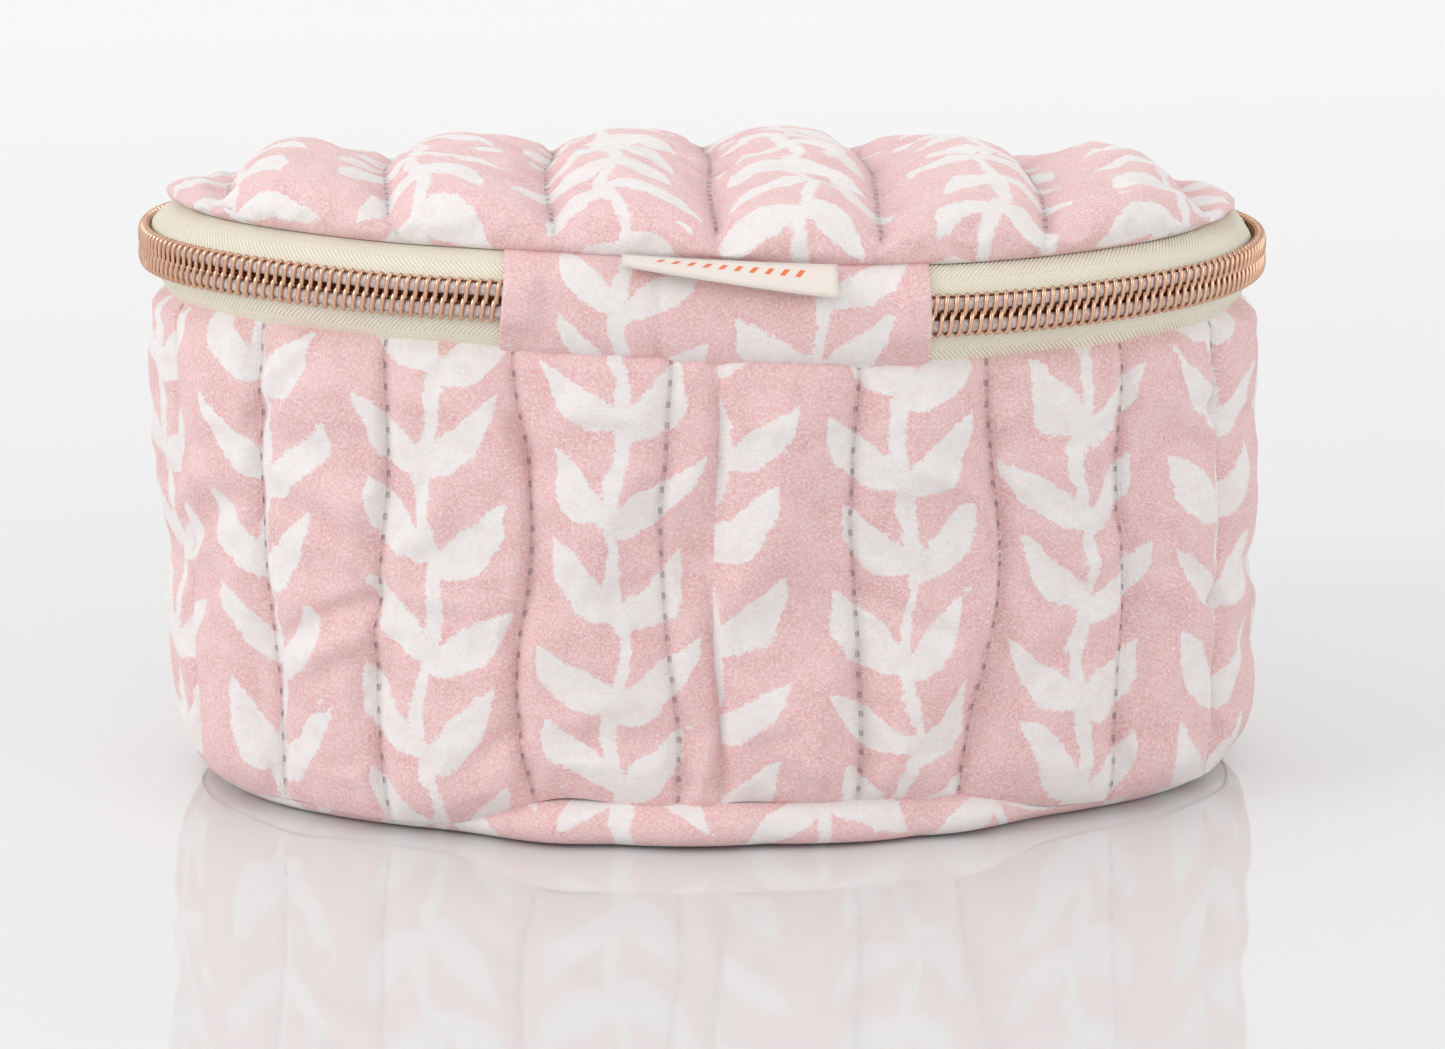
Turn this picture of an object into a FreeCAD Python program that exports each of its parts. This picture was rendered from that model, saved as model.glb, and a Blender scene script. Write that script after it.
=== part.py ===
"""Quilted cotton makeup bag: an oval box of padded cloth, closed by a coil zip with two sliders.

Frame: millimetres, +Z up, origin at the middle of the flat underside. X is the long way of the oval.
The hinge panel, which joins the lid to the wall, is at -Y. The sliders meet in the middle of the +Y side.

A cross-section through the wall, zip or lid is a list of (inset, height) points. The inset is measured
inwards from the outer face of the wall, so a negative inset stands out from it.
"""
import math
import os

import FreeCAD
import Part

V = FreeCAD.Vector

# The oval plan, at the outer face of the wall
BODY_WIDTH = 176.0
BODY_DEPTH = 114.0
END_RADIUS = 43.0

# Cloth and padding
COTTON = 0.4            # printed outer cotton and lining cotton
WADDING = 3.0
PLY_GAP = 0.05          # between two layers that lie on each other
BINDING = 0.8           # folded bias tape, two layers thick
THREAD_DIAMETER = 0.35

# Heights of the seams
BASE_SEAM_HEIGHT = 5.0
WALL_HEIGHT = 73.0      # from the base seam to the zip seam
ZIP_BAND_HEIGHT = 14.0  # from the zip seam to the lid seam
LID_CROWN = 8.4         # from the lid seam to the top of the lid

# Lid: a little smaller than the wall all round, because the zip tape slopes in to its seam
LID_INSET = 2.8
LID_LEANS = (0, 2, 36, 62, 79, 87, 90)  # the way in at each point of its section, in degrees below level

# Base
BASE_SEAM_INSET = 0.6
BASE_EDGE_INSET = 7.0   # how far the flat underside stays in from the wall
CORE_INSET = 30.0       # inside this inset the base and lid layers are level

# Zip: a coil chain of the 6 mm class
CHAIN_WIDTH = 6.4
COIL_GAP = 1.0          # room for the sliders' necks
COIL_THICKNESS = 1.95
TAPE = 0.6
TAPE_STAND_OUT = 0.6    # how far the tape's outer face leans out at the chain
TAPE_SEAM_INSET = 0.8
TAPE_TAIL = 8.0         # the tape's hidden edge, inside the seam binding

# Hinge panel and label
PANEL_WIDTH = 66.5
PANEL_WADDING = 1.1
PANEL_STAND_OUT = 0.9
PANEL_LEAN = 3.4        # how far the panel's top slopes in, to the lid seam
LABEL_WIDTH = 34.0
LABEL_DROP = 7.0
LABEL_THICKNESS = 0.7
LABEL_CENTRE_X = 2.0
LABEL_OPENS = 8.18      # degrees between the label and the sloping top of the hinge panel

# Quilting: rows of stitches up the wall, counted from the closing seam, and rows across the lid
WALL_ROWS = 20
FIRST_ROW = 22.0        # from the closing seam to the nearest row on its +X side
LAST_ROW = 7.5          # from the closing seam to the nearest row on its -X side
LID_ROWS = 7
LID_ROW_SPACING = 25.6
LID_ROW_OFFSET = 1.0    # how far the middle row is from the middle of the lid

# Bindings inside
BINDING_HEIGHT = 7.0
CLOSING_BINDING_WIDTH = 9.0

# Sliders and pulls
SLIDER_LENGTH = 9.6
SLIDER_WIDTH = 8.8
SLIDER_PLATE = 0.9
SLIDER_CLEARANCE = 0.3  # between a slider and the chain or tape
SLIDER_NECK = 0.5
SLIDER_PARTING = 0.6    # between the two noses when the zip is shut
INNER_PLATE_WIDTH = 5.6
NECK_SETBACK = 0.4
NECK_LENGTH = 3.0
FLANGE_LENGTH = 5.2
BAIL_SPAN = 7.0
BAIL_WIDTH = 1.5
BAIL_STRIP = 0.7
BAIL_ROOM = 1.6         # under the bail
LINK_THICKNESS = 0.9
LINK_EYE_RADIUS = 1.5
LINK_CLEARANCE = 0.08   # between the eye and the post it hangs on
LINK_RIM = 1.0
LINK_LENGTH = 7.0       # from the eye's centre to the tab's pin
FORK_OPENING = 5.0
FORK_CLEARANCE = 0.25
PIN_RADIUS = 0.55
PIN_CLEARANCE = 0.06
TAB_LENGTH = 22.0
TAB_WIDTH = 7.0
TAB_THICKNESS = 1.2
TAB_KNUCKLE_WALL = 0.6

# Worked out from the sizes above
HALF_WIDTH = BODY_WIDTH / 2
HALF_DEPTH = BODY_DEPTH / 2
END_CENTRE = HALF_WIDTH - END_RADIUS
SIDE_CENTRE = (END_CENTRE ** 2 - (HALF_DEPTH - END_RADIUS) ** 2) / (2 * (HALF_DEPTH - END_RADIUS))
SIDE_RADIUS = HALF_DEPTH + SIDE_CENTRE
TANGENT = math.degrees(math.atan2(SIDE_CENTRE, END_CENTRE))
ZIP_SEAM = BASE_SEAM_HEIGHT + WALL_HEIGHT
LID_SEAM = ZIP_SEAM + ZIP_BAND_HEIGHT
CHAIN_HEIGHT = (ZIP_SEAM + LID_SEAM) / 2
WALL_THICKNESS = 2 * COTTON + WADDING + 2 * PLY_GAP
PANEL_HALF_ANGLE = math.degrees(PANEL_WIDTH / 2 / SIDE_RADIUS)
COIL_FACE = -TAPE_STAND_OUT - PLY_GAP
COIL_FRONT = COIL_FACE - COIL_THICKNESS

# The four arcs of the plan: centre, radius, start and end angle, anticlockwise from the +X end
ARCS = [
    (V(END_CENTRE, 0, 0), END_RADIUS, -TANGENT, TANGENT),
    (V(0, -SIDE_CENTRE, 0), SIDE_RADIUS, TANGENT, 180 - TANGENT),
    (V(-END_CENTRE, 0, 0), END_RADIUS, 180 - TANGENT, 180 + TANGENT),
    (V(0, SIDE_CENTRE, 0), SIDE_RADIUS, 180 + TANGENT, 360 - TANGENT),
]
HINGE_SIDE = 3          # the arc that the hinge panel is on
HINGE_ANGLE = 270.0     # the middle of that arc


def polygon(points):
    """A flat face from its corners."""
    return Part.Face(Part.makePolygon(points + [points[0]]))


def sweep_arc(section, arc, start, end):
    """The section turned about one arc's centre, from one angle to another."""
    centre, radius = arc[0], arc[1]
    way = V(math.cos(math.radians(start)), math.sin(math.radians(start)), 0)
    face = polygon([centre + way * (radius - inset) + V(0, 0, z) for inset, z in section])
    return face.revolve(centre, V(0, 0, 1), end - start)


def joined(solids):
    """One solid, or one group of solids, with the seams between them taken out."""
    whole = solids[0] if len(solids) == 1 else solids[0].multiFuse(solids[1:])
    return whole.removeSplitter()


def ring(section):
    """The section carried all the way round the oval."""
    return joined([sweep_arc(section, arc, arc[2], arc[3]) for arc in ARCS])


def zip_track(section):
    """The section carried round the oval from one edge of the hinge panel to the other."""
    hinge = ARCS[HINGE_SIDE]
    solids = [sweep_arc(section, arc, arc[2], arc[3]) for arc in ARCS[:HINGE_SIDE]]
    solids.append(sweep_arc(section, hinge, hinge[2], HINGE_ANGLE - PANEL_HALF_ANGLE))
    solids.append(sweep_arc(section, hinge, HINGE_ANGLE + PANEL_HALF_ANGLE, hinge[3]))
    return joined(solids)


def hinge_stretch(section, half_angle):
    """The section on the hinge side only, that angle each way from the middle."""
    return sweep_arc(section, ARCS[HINGE_SIDE], HINGE_ANGLE - half_angle, HINGE_ANGLE + half_angle)


def oval_slab(inset, low, high):
    """A level slab with the oval plan."""
    edges = []
    for centre, radius, start, end in ARCS:
        circle = Part.Circle(centre + V(0, 0, low), V(0, 0, 1), radius - inset)
        edges.append(Part.Arc(circle, math.radians(start), math.radians(end)).toShape())
    return Part.Face(Part.Wire(edges)).extrude(V(0, 0, high - low))


def dished(lower, upper):
    """A layer between two section curves that both end, level, at the core inset."""
    rim = ring(upper + lower[::-1])
    return joined([rim, oval_slab(CORE_INSET, lower[-1][1], upper[-1][1])])


def on_outline(length, inset):
    """The point of the plan at that length round it from the middle of the hinge side, anticlockwise."""
    order = [(ARCS[3], HINGE_ANGLE, ARCS[3][3])] + [(arc, arc[2], arc[3]) for arc in ARCS[:3]]
    order.append((ARCS[3], ARCS[3][2], HINGE_ANGLE))
    for (centre, radius, _, _), start, end in order:
        run = radius * math.radians(end - start)
        if length <= run:
            angle = math.radians(start) + length / radius
            return centre + V(math.cos(angle), math.sin(angle), 0) * (radius - inset)
        length -= run
    return on_outline(length, inset)


def outline_length():
    """The length round the outer face of the wall."""
    return sum(radius * math.radians(end - start) for _, radius, start, end in ARCS)


def band(outer, inner, low, high):
    """An upright section between two insets and two heights."""
    return [(outer, low), (inner, low), (inner, high), (outer, high)]


# Wall -----------------------------------------------------------------------------------------
def make_wall(parts):
    wadding_face = COTTON + PLY_GAP
    lining_face = wadding_face + WADDING + PLY_GAP
    parts["wall_outer"] = ring(band(0, COTTON, BASE_SEAM_HEIGHT, ZIP_SEAM))
    parts["wall_wadding"] = ring(band(wadding_face, wadding_face + WADDING, BASE_SEAM_HEIGHT, ZIP_SEAM))
    parts["wall_lining"] = ring(band(lining_face, WALL_THICKNESS, BASE_SEAM_HEIGHT, ZIP_SEAM))


def make_wall_quilting(parts):
    """One strand of thread down each row of stitches."""
    step = (outline_length() - FIRST_ROW - LAST_ROW) / (WALL_ROWS - 1)
    margin = 2 * THREAD_DIAMETER
    strands = []
    for row in range(WALL_ROWS):
        foot = on_outline(FIRST_ROW + row * step, -THREAD_DIAMETER / 2 - PLY_GAP)
        foot.z = BASE_SEAM_HEIGHT + margin
        strands.append(Part.makeCylinder(THREAD_DIAMETER / 2, WALL_HEIGHT - 2 * margin, foot))
    parts["wall_quilting_thread"] = Part.makeCompound(strands)


# Base -----------------------------------------------------------------------------------------
def make_base(parts):
    top = BASE_SEAM_HEIGHT - PLY_GAP
    skin = [(BASE_SEAM_INSET, top), (BASE_EDGE_INSET, 0), (CORE_INSET, 0)]
    skin_inside = [(BASE_SEAM_INSET + COTTON, top), (BASE_EDGE_INSET, COTTON), (CORE_INSET, COTTON)]
    parts["base_outer"] = dished(skin, skin_inside)
    lining_low = top - COTTON
    wadding_top = lining_low - PLY_GAP
    wadding_low = COTTON + PLY_GAP
    edge = BASE_SEAM_INSET + 4 * COTTON
    wadding_under = [(edge, wadding_top - COTTON), (BASE_EDGE_INSET, wadding_low), (CORE_INSET, wadding_low)]
    parts["base_wadding"] = dished(wadding_under, [(edge, wadding_top), (CORE_INSET, wadding_top)])
    parts["base_lining"] = oval_slab(edge, lining_low, top)


# Lid ------------------------------------------------------------------------------------------
def lid_curve(depth):
    """The lid's section, from its seam to its level middle, that far below the outer face."""
    crown = LID_SEAM + LID_CROWN
    curve = [
        (LID_INSET + 0.6, LID_SEAM + PLY_GAP),
        (LID_INSET, LID_SEAM + 0.22 * LID_CROWN),
        (LID_INSET + 1.0, LID_SEAM + 0.50 * LID_CROWN),
        (LID_INSET + 3.6, LID_SEAM + 0.72 * LID_CROWN),
        (LID_INSET + 8.6, LID_SEAM + 0.88 * LID_CROWN),
        (LID_INSET + 16.0, LID_SEAM + 0.97 * LID_CROWN),
        (CORE_INSET, crown),
    ]
    inward = [V(math.cos(math.radians(lean)), -math.sin(math.radians(lean)), 0) for lean in LID_LEANS]
    return [(inset + depth * way.x, z + depth * way.y) for (inset, z), way in zip(curve, inward)]


def make_lid(parts):
    skin, wadding, lining = 0.0, COTTON + PLY_GAP, COTTON + WADDING + 2 * PLY_GAP
    parts["lid_outer"] = dished(lid_curve(COTTON), lid_curve(skin))
    parts["lid_wadding"] = dished(lid_curve(wadding + WADDING), lid_curve(wadding))
    parts["lid_lining"] = dished(lid_curve(WALL_THICKNESS), lid_curve(lining))


def make_lid_quilting(parts):
    """Strands of thread that follow the lid's surface from the hinge side to the opening side."""
    shell = dished(lid_curve(-PLY_GAP), lid_curve(-PLY_GAP - THREAD_DIAMETER))
    strands = []
    for row in range(LID_ROWS):
        x = LID_ROW_OFFSET + (row - (LID_ROWS - 1) / 2) * LID_ROW_SPACING
        low = LID_SEAM + 0.3 * LID_CROWN
        slot = Part.makeBox(THREAD_DIAMETER, 2 * BODY_DEPTH, 2 * LID_CROWN,
                            V(x - THREAD_DIAMETER / 2, -BODY_DEPTH, low))
        strands += shell.common(slot).Solids
    parts["lid_quilting_thread"] = Part.makeCompound(strands)


# Zip ------------------------------------------------------------------------------------------
def tape_from_seam(seam_inset, seam_height, flange, way):
    """Half a tape's section: its hidden flange, its slope from the seam to the chain, and its chain edge.

    The way is +1 for the lower tape and -1 for the upper one, which is upside down.
    """
    edge = CHAIN_HEIGHT - way * COIL_GAP / 2
    bend = CHAIN_HEIGHT - way * CHAIN_WIDTH / 2
    start = seam_height + way * PLY_GAP
    outer = [(-TAPE_STAND_OUT, edge), (-TAPE_STAND_OUT, bend), (seam_inset, start), (flange, start)]
    inner = [(flange, start + way * TAPE), (seam_inset + TAPE, start + way * TAPE),
             (TAPE - TAPE_STAND_OUT, bend + way * TAPE / 2), (TAPE - TAPE_STAND_OUT, edge)]
    return outer, inner


def make_zip(parts):
    tail = WALL_THICKNESS + BINDING / 2
    outer, inner = tape_from_seam(TAPE_SEAM_INSET, ZIP_SEAM, tail, 1)
    foot = ZIP_SEAM - TAPE_TAIL
    hidden_edge = [(tail, foot), (tail + TAPE, foot), (tail + TAPE, inner[0][1])]
    parts["lower_zip_tape"] = zip_track(outer + hidden_edge + inner[1:])
    outer, inner = tape_from_seam(LID_INSET + 0.6, LID_SEAM, LID_INSET + tail, -1)
    parts["upper_zip_tape"] = zip_track(outer + inner)
    gap, half = COIL_GAP / 2, CHAIN_WIDTH / 2
    parts["lower_zip_coil"] = zip_track(band(COIL_FRONT, COIL_FACE, CHAIN_HEIGHT - half, CHAIN_HEIGHT - gap))
    parts["upper_zip_coil"] = zip_track(band(COIL_FRONT, COIL_FACE, CHAIN_HEIGHT + gap, CHAIN_HEIGHT + half))


# Hinge panel and label --------------------------------------------------------------------------
def make_hinge_panel(parts):
    low, high = ZIP_SEAM + PLY_GAP, LID_SEAM
    angle = PANEL_HALF_ANGLE - math.degrees(PLY_GAP / SIDE_RADIUS)
    face = -PANEL_STAND_OUT
    wadding_face = face + COTTON + PLY_GAP
    lining_face = wadding_face + PANEL_WADDING + PLY_GAP
    layers = {
        "hinge_panel_outer": (face, face + COTTON),
        "hinge_panel_wadding": (wadding_face, wadding_face + PANEL_WADDING),
        "hinge_panel_lining": (lining_face, lining_face + COTTON),
    }
    bend = CHAIN_HEIGHT + CHAIN_WIDTH / 2
    for name, (near, far) in layers.items():
        upright = [(near, bend), (near, low), (far, low), (far, bend)]
        parts[name] = hinge_stretch(upright + [(far + PANEL_LEAN, high), (near + PANEL_LEAN, high)], angle)


def make_label(parts):
    """A flat woven label, sewn into the seam between the hinge panel and the lid, that leans out."""
    panel_slope = math.atan2(PANEL_LEAN, LID_SEAM - CHAIN_HEIGHT - CHAIN_WIDTH / 2)
    lean = panel_slope + math.radians(LABEL_OPENS)
    down = V(0, -math.sin(lean), -math.cos(lean))
    across = V(0, -math.cos(lean), math.sin(lean)) * LABEL_THICKNESS
    left = LABEL_CENTRE_X - LABEL_WIDTH / 2
    root = V(left, PANEL_LEAN - HALF_DEPTH - PANEL_STAND_OUT - PLY_GAP, LID_SEAM)
    corners = [root, root + down * LABEL_DROP, root + down * LABEL_DROP + across, root + across]
    parts["label"] = polygon(corners).extrude(V(LABEL_WIDTH, 0, 0))


# Bindings over the seams inside -----------------------------------------------------------------
def make_bindings(parts):
    face = WALL_THICKNESS + PLY_GAP
    tail = WALL_THICKNESS + BINDING / 2
    low = BASE_SEAM_HEIGHT + PLY_GAP
    parts["base_seam_binding"] = ring(band(face, face + 2 * BINDING, low, low + BINDING_HEIGHT))
    back = tail + TAPE + PLY_GAP
    foot = ZIP_SEAM - TAPE_TAIL - PLY_GAP
    fold = foot - BINDING / 2
    rim = [(face, ZIP_SEAM), (face, fold), (back + BINDING / 2, fold), (back + BINDING / 2, ZIP_SEAM),
           (back, ZIP_SEAM), (back, foot), (tail - PLY_GAP, foot), (tail - PLY_GAP, ZIP_SEAM)]
    parts["rim_seam_binding"] = ring(rim)
    under = LID_SEAM - TAPE - 2 * PLY_GAP
    lid_face = lid_curve(WALL_THICKNESS)[0][0]
    parts["lid_seam_binding"] = ring(band(lid_face - 2 * BINDING, lid_face + BINDING, under - BINDING, under))
    half_angle = math.degrees(CLOSING_BINDING_WIDTH / 2 / SIDE_RADIUS)
    closing = band(face, face + BINDING, low + BINDING_HEIGHT + PLY_GAP, fold - PLY_GAP)
    parts["closing_seam_binding"] = hinge_stretch(closing, half_angle)


# Sliders and pulls --------------------------------------------------------------------------------
# Each is made in the middle of the +Y side, then turned round that side's arc to its place on the +X side,
# and mirrored for the other one. A block's place is given as x towards the slider's tail, the distance out
# from the wall's outer face, and z from the middle of the chain.
PLATE_BACK = -COIL_FRONT + SLIDER_CLEARANCE
PLATE_FRONT = PLATE_BACK + SLIDER_PLATE
INNER_FRONT = TAPE_STAND_OUT - TAPE - SLIDER_CLEARANCE
INNER_BACK = INNER_FRONT - SLIDER_PLATE
POST_X = (BAIL_SPAN - BAIL_STRIP) / 2
LINK_BACK = PLATE_FRONT + (BAIL_ROOM - LINK_THICKNESS) / 2
LINK_FRONT = LINK_BACK + LINK_THICKNESS
LINK_MIDDLE = (LINK_BACK + LINK_FRONT) / 2
EYE_Z = BAIL_WIDTH / 2 + LINK_CLEARANCE - LINK_EYE_RADIUS
PIN_Z = EYE_Z - LINK_LENGTH
KNUCKLE_RADIUS = PIN_RADIUS + PIN_CLEARANCE + TAB_KNUCKLE_WALL
KNUCKLE_WIDTH = FORK_OPENING - 2 * FORK_CLEARANCE
SLIDER_TURN = math.degrees((SLIDER_PARTING + SLIDER_LENGTH) / 2 / SIDE_RADIUS)


def block(x, out, z):
    """A box between two values on each axis."""
    corner = V(x[0], HALF_DEPTH + out[0], CHAIN_HEIGHT + z[0])
    return Part.makeBox(x[1] - x[0], out[1] - out[0], z[1] - z[0], corner)


def pin_along(way, radius, length, x, out, z):
    """A round pin centred on a place, with its axis that way."""
    middle = V(x, HALF_DEPTH + out, CHAIN_HEIGHT + z)
    return Part.makeCylinder(radius, length, middle - way * (length / 2), way)


def rounded_plate(out, width):
    """A slider's plate, with its four corners rounded."""
    plate = block((-SLIDER_LENGTH / 2, SLIDER_LENGTH / 2), out, (-width / 2, width / 2))
    corners = [e for e in plate.Edges if abs(e.tangentAt(e.FirstParameter).y) > 0.99]
    return plate.makeFillet(width / 4, corners)


def slider_body():
    """An outer and an inner plate, the neck that joins them at the nose, and a flange under the chain."""
    outer = rounded_plate((PLATE_BACK, PLATE_FRONT), SLIDER_WIDTH)
    inner = rounded_plate((INNER_BACK, INNER_FRONT), INNER_PLATE_WIDTH)
    nose = NECK_SETBACK - SLIDER_LENGTH / 2
    neck = block((nose, nose + NECK_LENGTH), (INNER_BACK, PLATE_FRONT), (-SLIDER_NECK / 2, SLIDER_NECK / 2))
    flange_out = (TAPE_STAND_OUT + SLIDER_CLEARANCE, PLATE_FRONT)
    flange = block((-FLANGE_LENGTH / 2, FLANGE_LENGTH / 2), flange_out,
                   (-SLIDER_WIDTH / 2, -CHAIN_WIDTH / 2 - SLIDER_CLEARANCE))
    return joined([outer, inner, neck, flange])


def slider_bail():
    """The strap that the pull hangs from: two posts on the outer plate and a strip over them."""
    front = PLATE_FRONT + BAIL_ROOM + BAIL_STRIP
    width = (-BAIL_WIDTH / 2, BAIL_WIDTH / 2)
    strap = block((-BAIL_SPAN / 2, BAIL_SPAN / 2), (PLATE_FRONT, front), width)
    upright = [e for e in strap.Edges if abs(e.tangentAt(e.FirstParameter).z) > 0.99]
    corners = [e for e in upright if e.Vertexes[0].Y > HALF_DEPTH + PLATE_FRONT + BAIL_ROOM]
    strap = strap.makeFillet(BAIL_WIDTH / 2, corners)
    room = BAIL_SPAN / 2 - BAIL_STRIP
    return strap.cut(block((-room, room), (PLATE_FRONT, PLATE_FRONT + BAIL_ROOM), width))


def pull_link():
    """An eye round the bail's post at the tail, a shank, and a fork that holds the tab's pin."""
    out = (LINK_BACK, LINK_FRONT)
    along_y = V(0, 1, 0)
    eye = pin_along(along_y, LINK_EYE_RADIUS + LINK_RIM, LINK_THICKNESS, POST_X, LINK_MIDDLE, EYE_Z)
    hole = pin_along(along_y, LINK_EYE_RADIUS, LINK_THICKNESS, POST_X, LINK_MIDDLE, EYE_Z)
    fork_top = PIN_Z + KNUCKLE_RADIUS + FORK_CLEARANCE
    yoke_top = fork_top + LINK_RIM
    half = FORK_OPENING / 2
    shank_top = EYE_Z - LINK_EYE_RADIUS - LINK_RIM / 2
    shank = block((POST_X - LINK_RIM, POST_X + LINK_RIM), out, (yoke_top, shank_top))
    yoke = block((POST_X - half - LINK_RIM, POST_X + half + LINK_RIM), out, (fork_top, yoke_top))
    foot = PIN_Z - PIN_RADIUS - FORK_CLEARANCE
    ears = [block((POST_X - half - LINK_RIM, POST_X - half), out, (foot, fork_top)),
            block((POST_X + half, POST_X + half + LINK_RIM), out, (foot, fork_top))]
    pin = pin_along(V(1, 0, 0), PIN_RADIUS, FORK_OPENING + LINK_RIM, POST_X, LINK_MIDDLE, PIN_Z)
    return joined([eye.cut(hole), shank, yoke, pin] + ears)


def pull_tab():
    """A plate with a round foot that hangs on the link's pin by a knuckle."""
    along_x = V(1, 0, 0)
    knuckle = pin_along(along_x, KNUCKLE_RADIUS, KNUCKLE_WIDTH, POST_X, LINK_MIDDLE, PIN_Z)
    bore = pin_along(along_x, PIN_RADIUS + PIN_CLEARANCE, KNUCKLE_WIDTH, POST_X, LINK_MIDDLE, PIN_Z)
    top = V(POST_X, HALF_DEPTH + LINK_MIDDLE - TAB_THICKNESS / 2, CHAIN_HEIGHT + PIN_Z)
    foot = top - V(0, 0, TAB_LENGTH - TAB_WIDTH / 2)
    across, down = V(TAB_WIDTH / 2, 0, 0), V(0, 0, -TAB_WIDTH / 2)
    neck = V(KNUCKLE_WIDTH / 2 - FORK_CLEARANCE, 0, 0)
    outline = Part.Wire([
        Part.LineSegment(top - neck, top + neck).toShape(),
        Part.LineSegment(top + neck, foot + across).toShape(),
        Part.Arc(foot + across, foot + down, foot - across).toShape(),
        Part.LineSegment(foot - across, top - neck).toShape(),
    ])
    plate = Part.Face(outline).extrude(V(0, TAB_THICKNESS, 0))
    return joined([knuckle, plate]).cut(bore)


def make_sliders(parts):
    made = {"slider_body": slider_body(), "slider_bail": slider_bail(),
            "pull_link": pull_link(), "pull_tab": pull_tab()}
    for name, solid in made.items():
        solid.rotate(V(0, -SIDE_CENTRE, 0), V(0, 0, 1), -SLIDER_TURN)
        parts["right_" + name] = solid
        parts["left_" + name] = solid.mirror(V(0, 0, 0), V(1, 0, 0))


def main():
    parts = {}
    for make in (make_wall, make_wall_quilting, make_base, make_lid, make_lid_quilting, make_zip,
                 make_hinge_panel, make_label, make_bindings, make_sliders):
        make(parts)
    os.makedirs("parts", exist_ok=True)
    for name, shape in parts.items():
        shape.exportStep("parts/" + name + ".step")
        print(f"{name:24s} solids {len(shape.Solids)}  volume {shape.Volume:9.1f}  valid {shape.isValid()}")
    post = Part.Vertex(POST_X, HALF_DEPTH + LINK_MIDDLE, CHAIN_HEIGHT + EYE_Z)
    pin = Part.Vertex(POST_X, HALF_DEPTH + LINK_MIDDLE, CHAIN_HEIGHT + PIN_Z)
    for name, point in (("eye", post), ("pin", pin)):
        point.rotate(V(0, -SIDE_CENTRE, 0), V(0, 0, 1), -SLIDER_TURN)
        print(f"right {name} centre {point.X:.3f}, {point.Y:.3f}, {point.Z:.3f}")
    print(f"outline {outline_length():.1f}, side centre {SIDE_CENTRE:.3f}, slider turn {SLIDER_TURN:.3f}")


main()
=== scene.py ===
# %% [markdown]
# # A quilted cotton makeup bag
#
# The bag is an oval box of padded cloth. Its wall, lid and base are quilted, a coil zip runs round the rim,
# and a short padded panel at the back is the hinge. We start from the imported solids, which fix every size,
# and make the cloth, the zip and the finishes around them.

# %% Load the fixed frame
import math
import random

import bmesh
import bpy
import numpy as np
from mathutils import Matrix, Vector, geometry


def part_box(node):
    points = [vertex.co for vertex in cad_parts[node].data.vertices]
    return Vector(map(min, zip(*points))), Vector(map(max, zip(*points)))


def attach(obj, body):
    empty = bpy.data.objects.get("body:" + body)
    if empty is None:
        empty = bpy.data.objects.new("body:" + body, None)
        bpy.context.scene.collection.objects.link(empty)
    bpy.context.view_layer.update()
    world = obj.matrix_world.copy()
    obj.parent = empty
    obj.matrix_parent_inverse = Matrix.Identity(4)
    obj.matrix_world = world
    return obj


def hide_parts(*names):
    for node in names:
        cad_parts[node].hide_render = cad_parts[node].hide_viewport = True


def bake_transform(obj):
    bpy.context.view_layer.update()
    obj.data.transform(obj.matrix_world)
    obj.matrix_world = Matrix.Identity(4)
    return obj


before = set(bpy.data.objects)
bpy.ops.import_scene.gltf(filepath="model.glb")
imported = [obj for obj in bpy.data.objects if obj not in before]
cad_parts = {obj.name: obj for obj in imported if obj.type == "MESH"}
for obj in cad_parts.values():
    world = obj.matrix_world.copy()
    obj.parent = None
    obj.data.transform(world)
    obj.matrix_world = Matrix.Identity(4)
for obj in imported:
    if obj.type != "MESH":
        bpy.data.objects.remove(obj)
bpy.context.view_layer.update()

MM = 0.001
TINY = 1e-9
bpy.context.scene.view_settings.view_transform = "Standard"

# %% [markdown]
# ## Camera and room
#
# A small object on a table is best seen from a little above and through a long lens, so that its upright
# sides stay upright. We place the camera by its angle round the bag, its height angle and its distance.

# %% Aim the camera
def aim_camera(azimuth, elevation, distance, target, lens):
    camera = bpy.data.objects.new("camera", bpy.data.cameras.new("camera"))
    bpy.context.scene.collection.objects.link(camera)
    turn, rise = math.radians(azimuth), math.radians(elevation)
    way = Vector((math.sin(turn) * math.cos(rise), -math.cos(turn) * math.cos(rise), math.sin(rise)))
    camera.location = Vector(target) + way * distance
    camera.rotation_euler = way.to_track_quat("Z", "Y").to_euler()
    camera.data.lens = lens
    camera.data.clip_start = 0.01
    bpy.context.scene.camera = camera
    return camera


camera = aim_camera(-2.1, 12.6, 0.95, (0.0031, 0, 0.0392), 145.2)
print("camera stands at", tuple(round(v, 3) for v in camera.location))

# %% [markdown]
# ## The plan of the bag
#
# The bag's outline is an oval of four arcs: two tight ones at the ends and two wide ones at the sides.
# Almost every seam follows it. So one helper turns a length round the wall and an inset from its outer face
# into a place, and every sewn piece is laid out with it, as a pattern cutter would.

# %% Lay out the oval
half_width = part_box("wall_outer")[1][0]
half_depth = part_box("wall_outer")[1][1]
end_radius = 43 * MM
end_centre = half_width - end_radius
side_centre = (end_centre ** 2 - (half_depth - end_radius) ** 2) / (2 * (half_depth - end_radius))
side_radius = half_depth + side_centre
tangent = math.atan2(side_centre, end_centre)
side_sweep = math.pi / 2 - tangent

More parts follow.
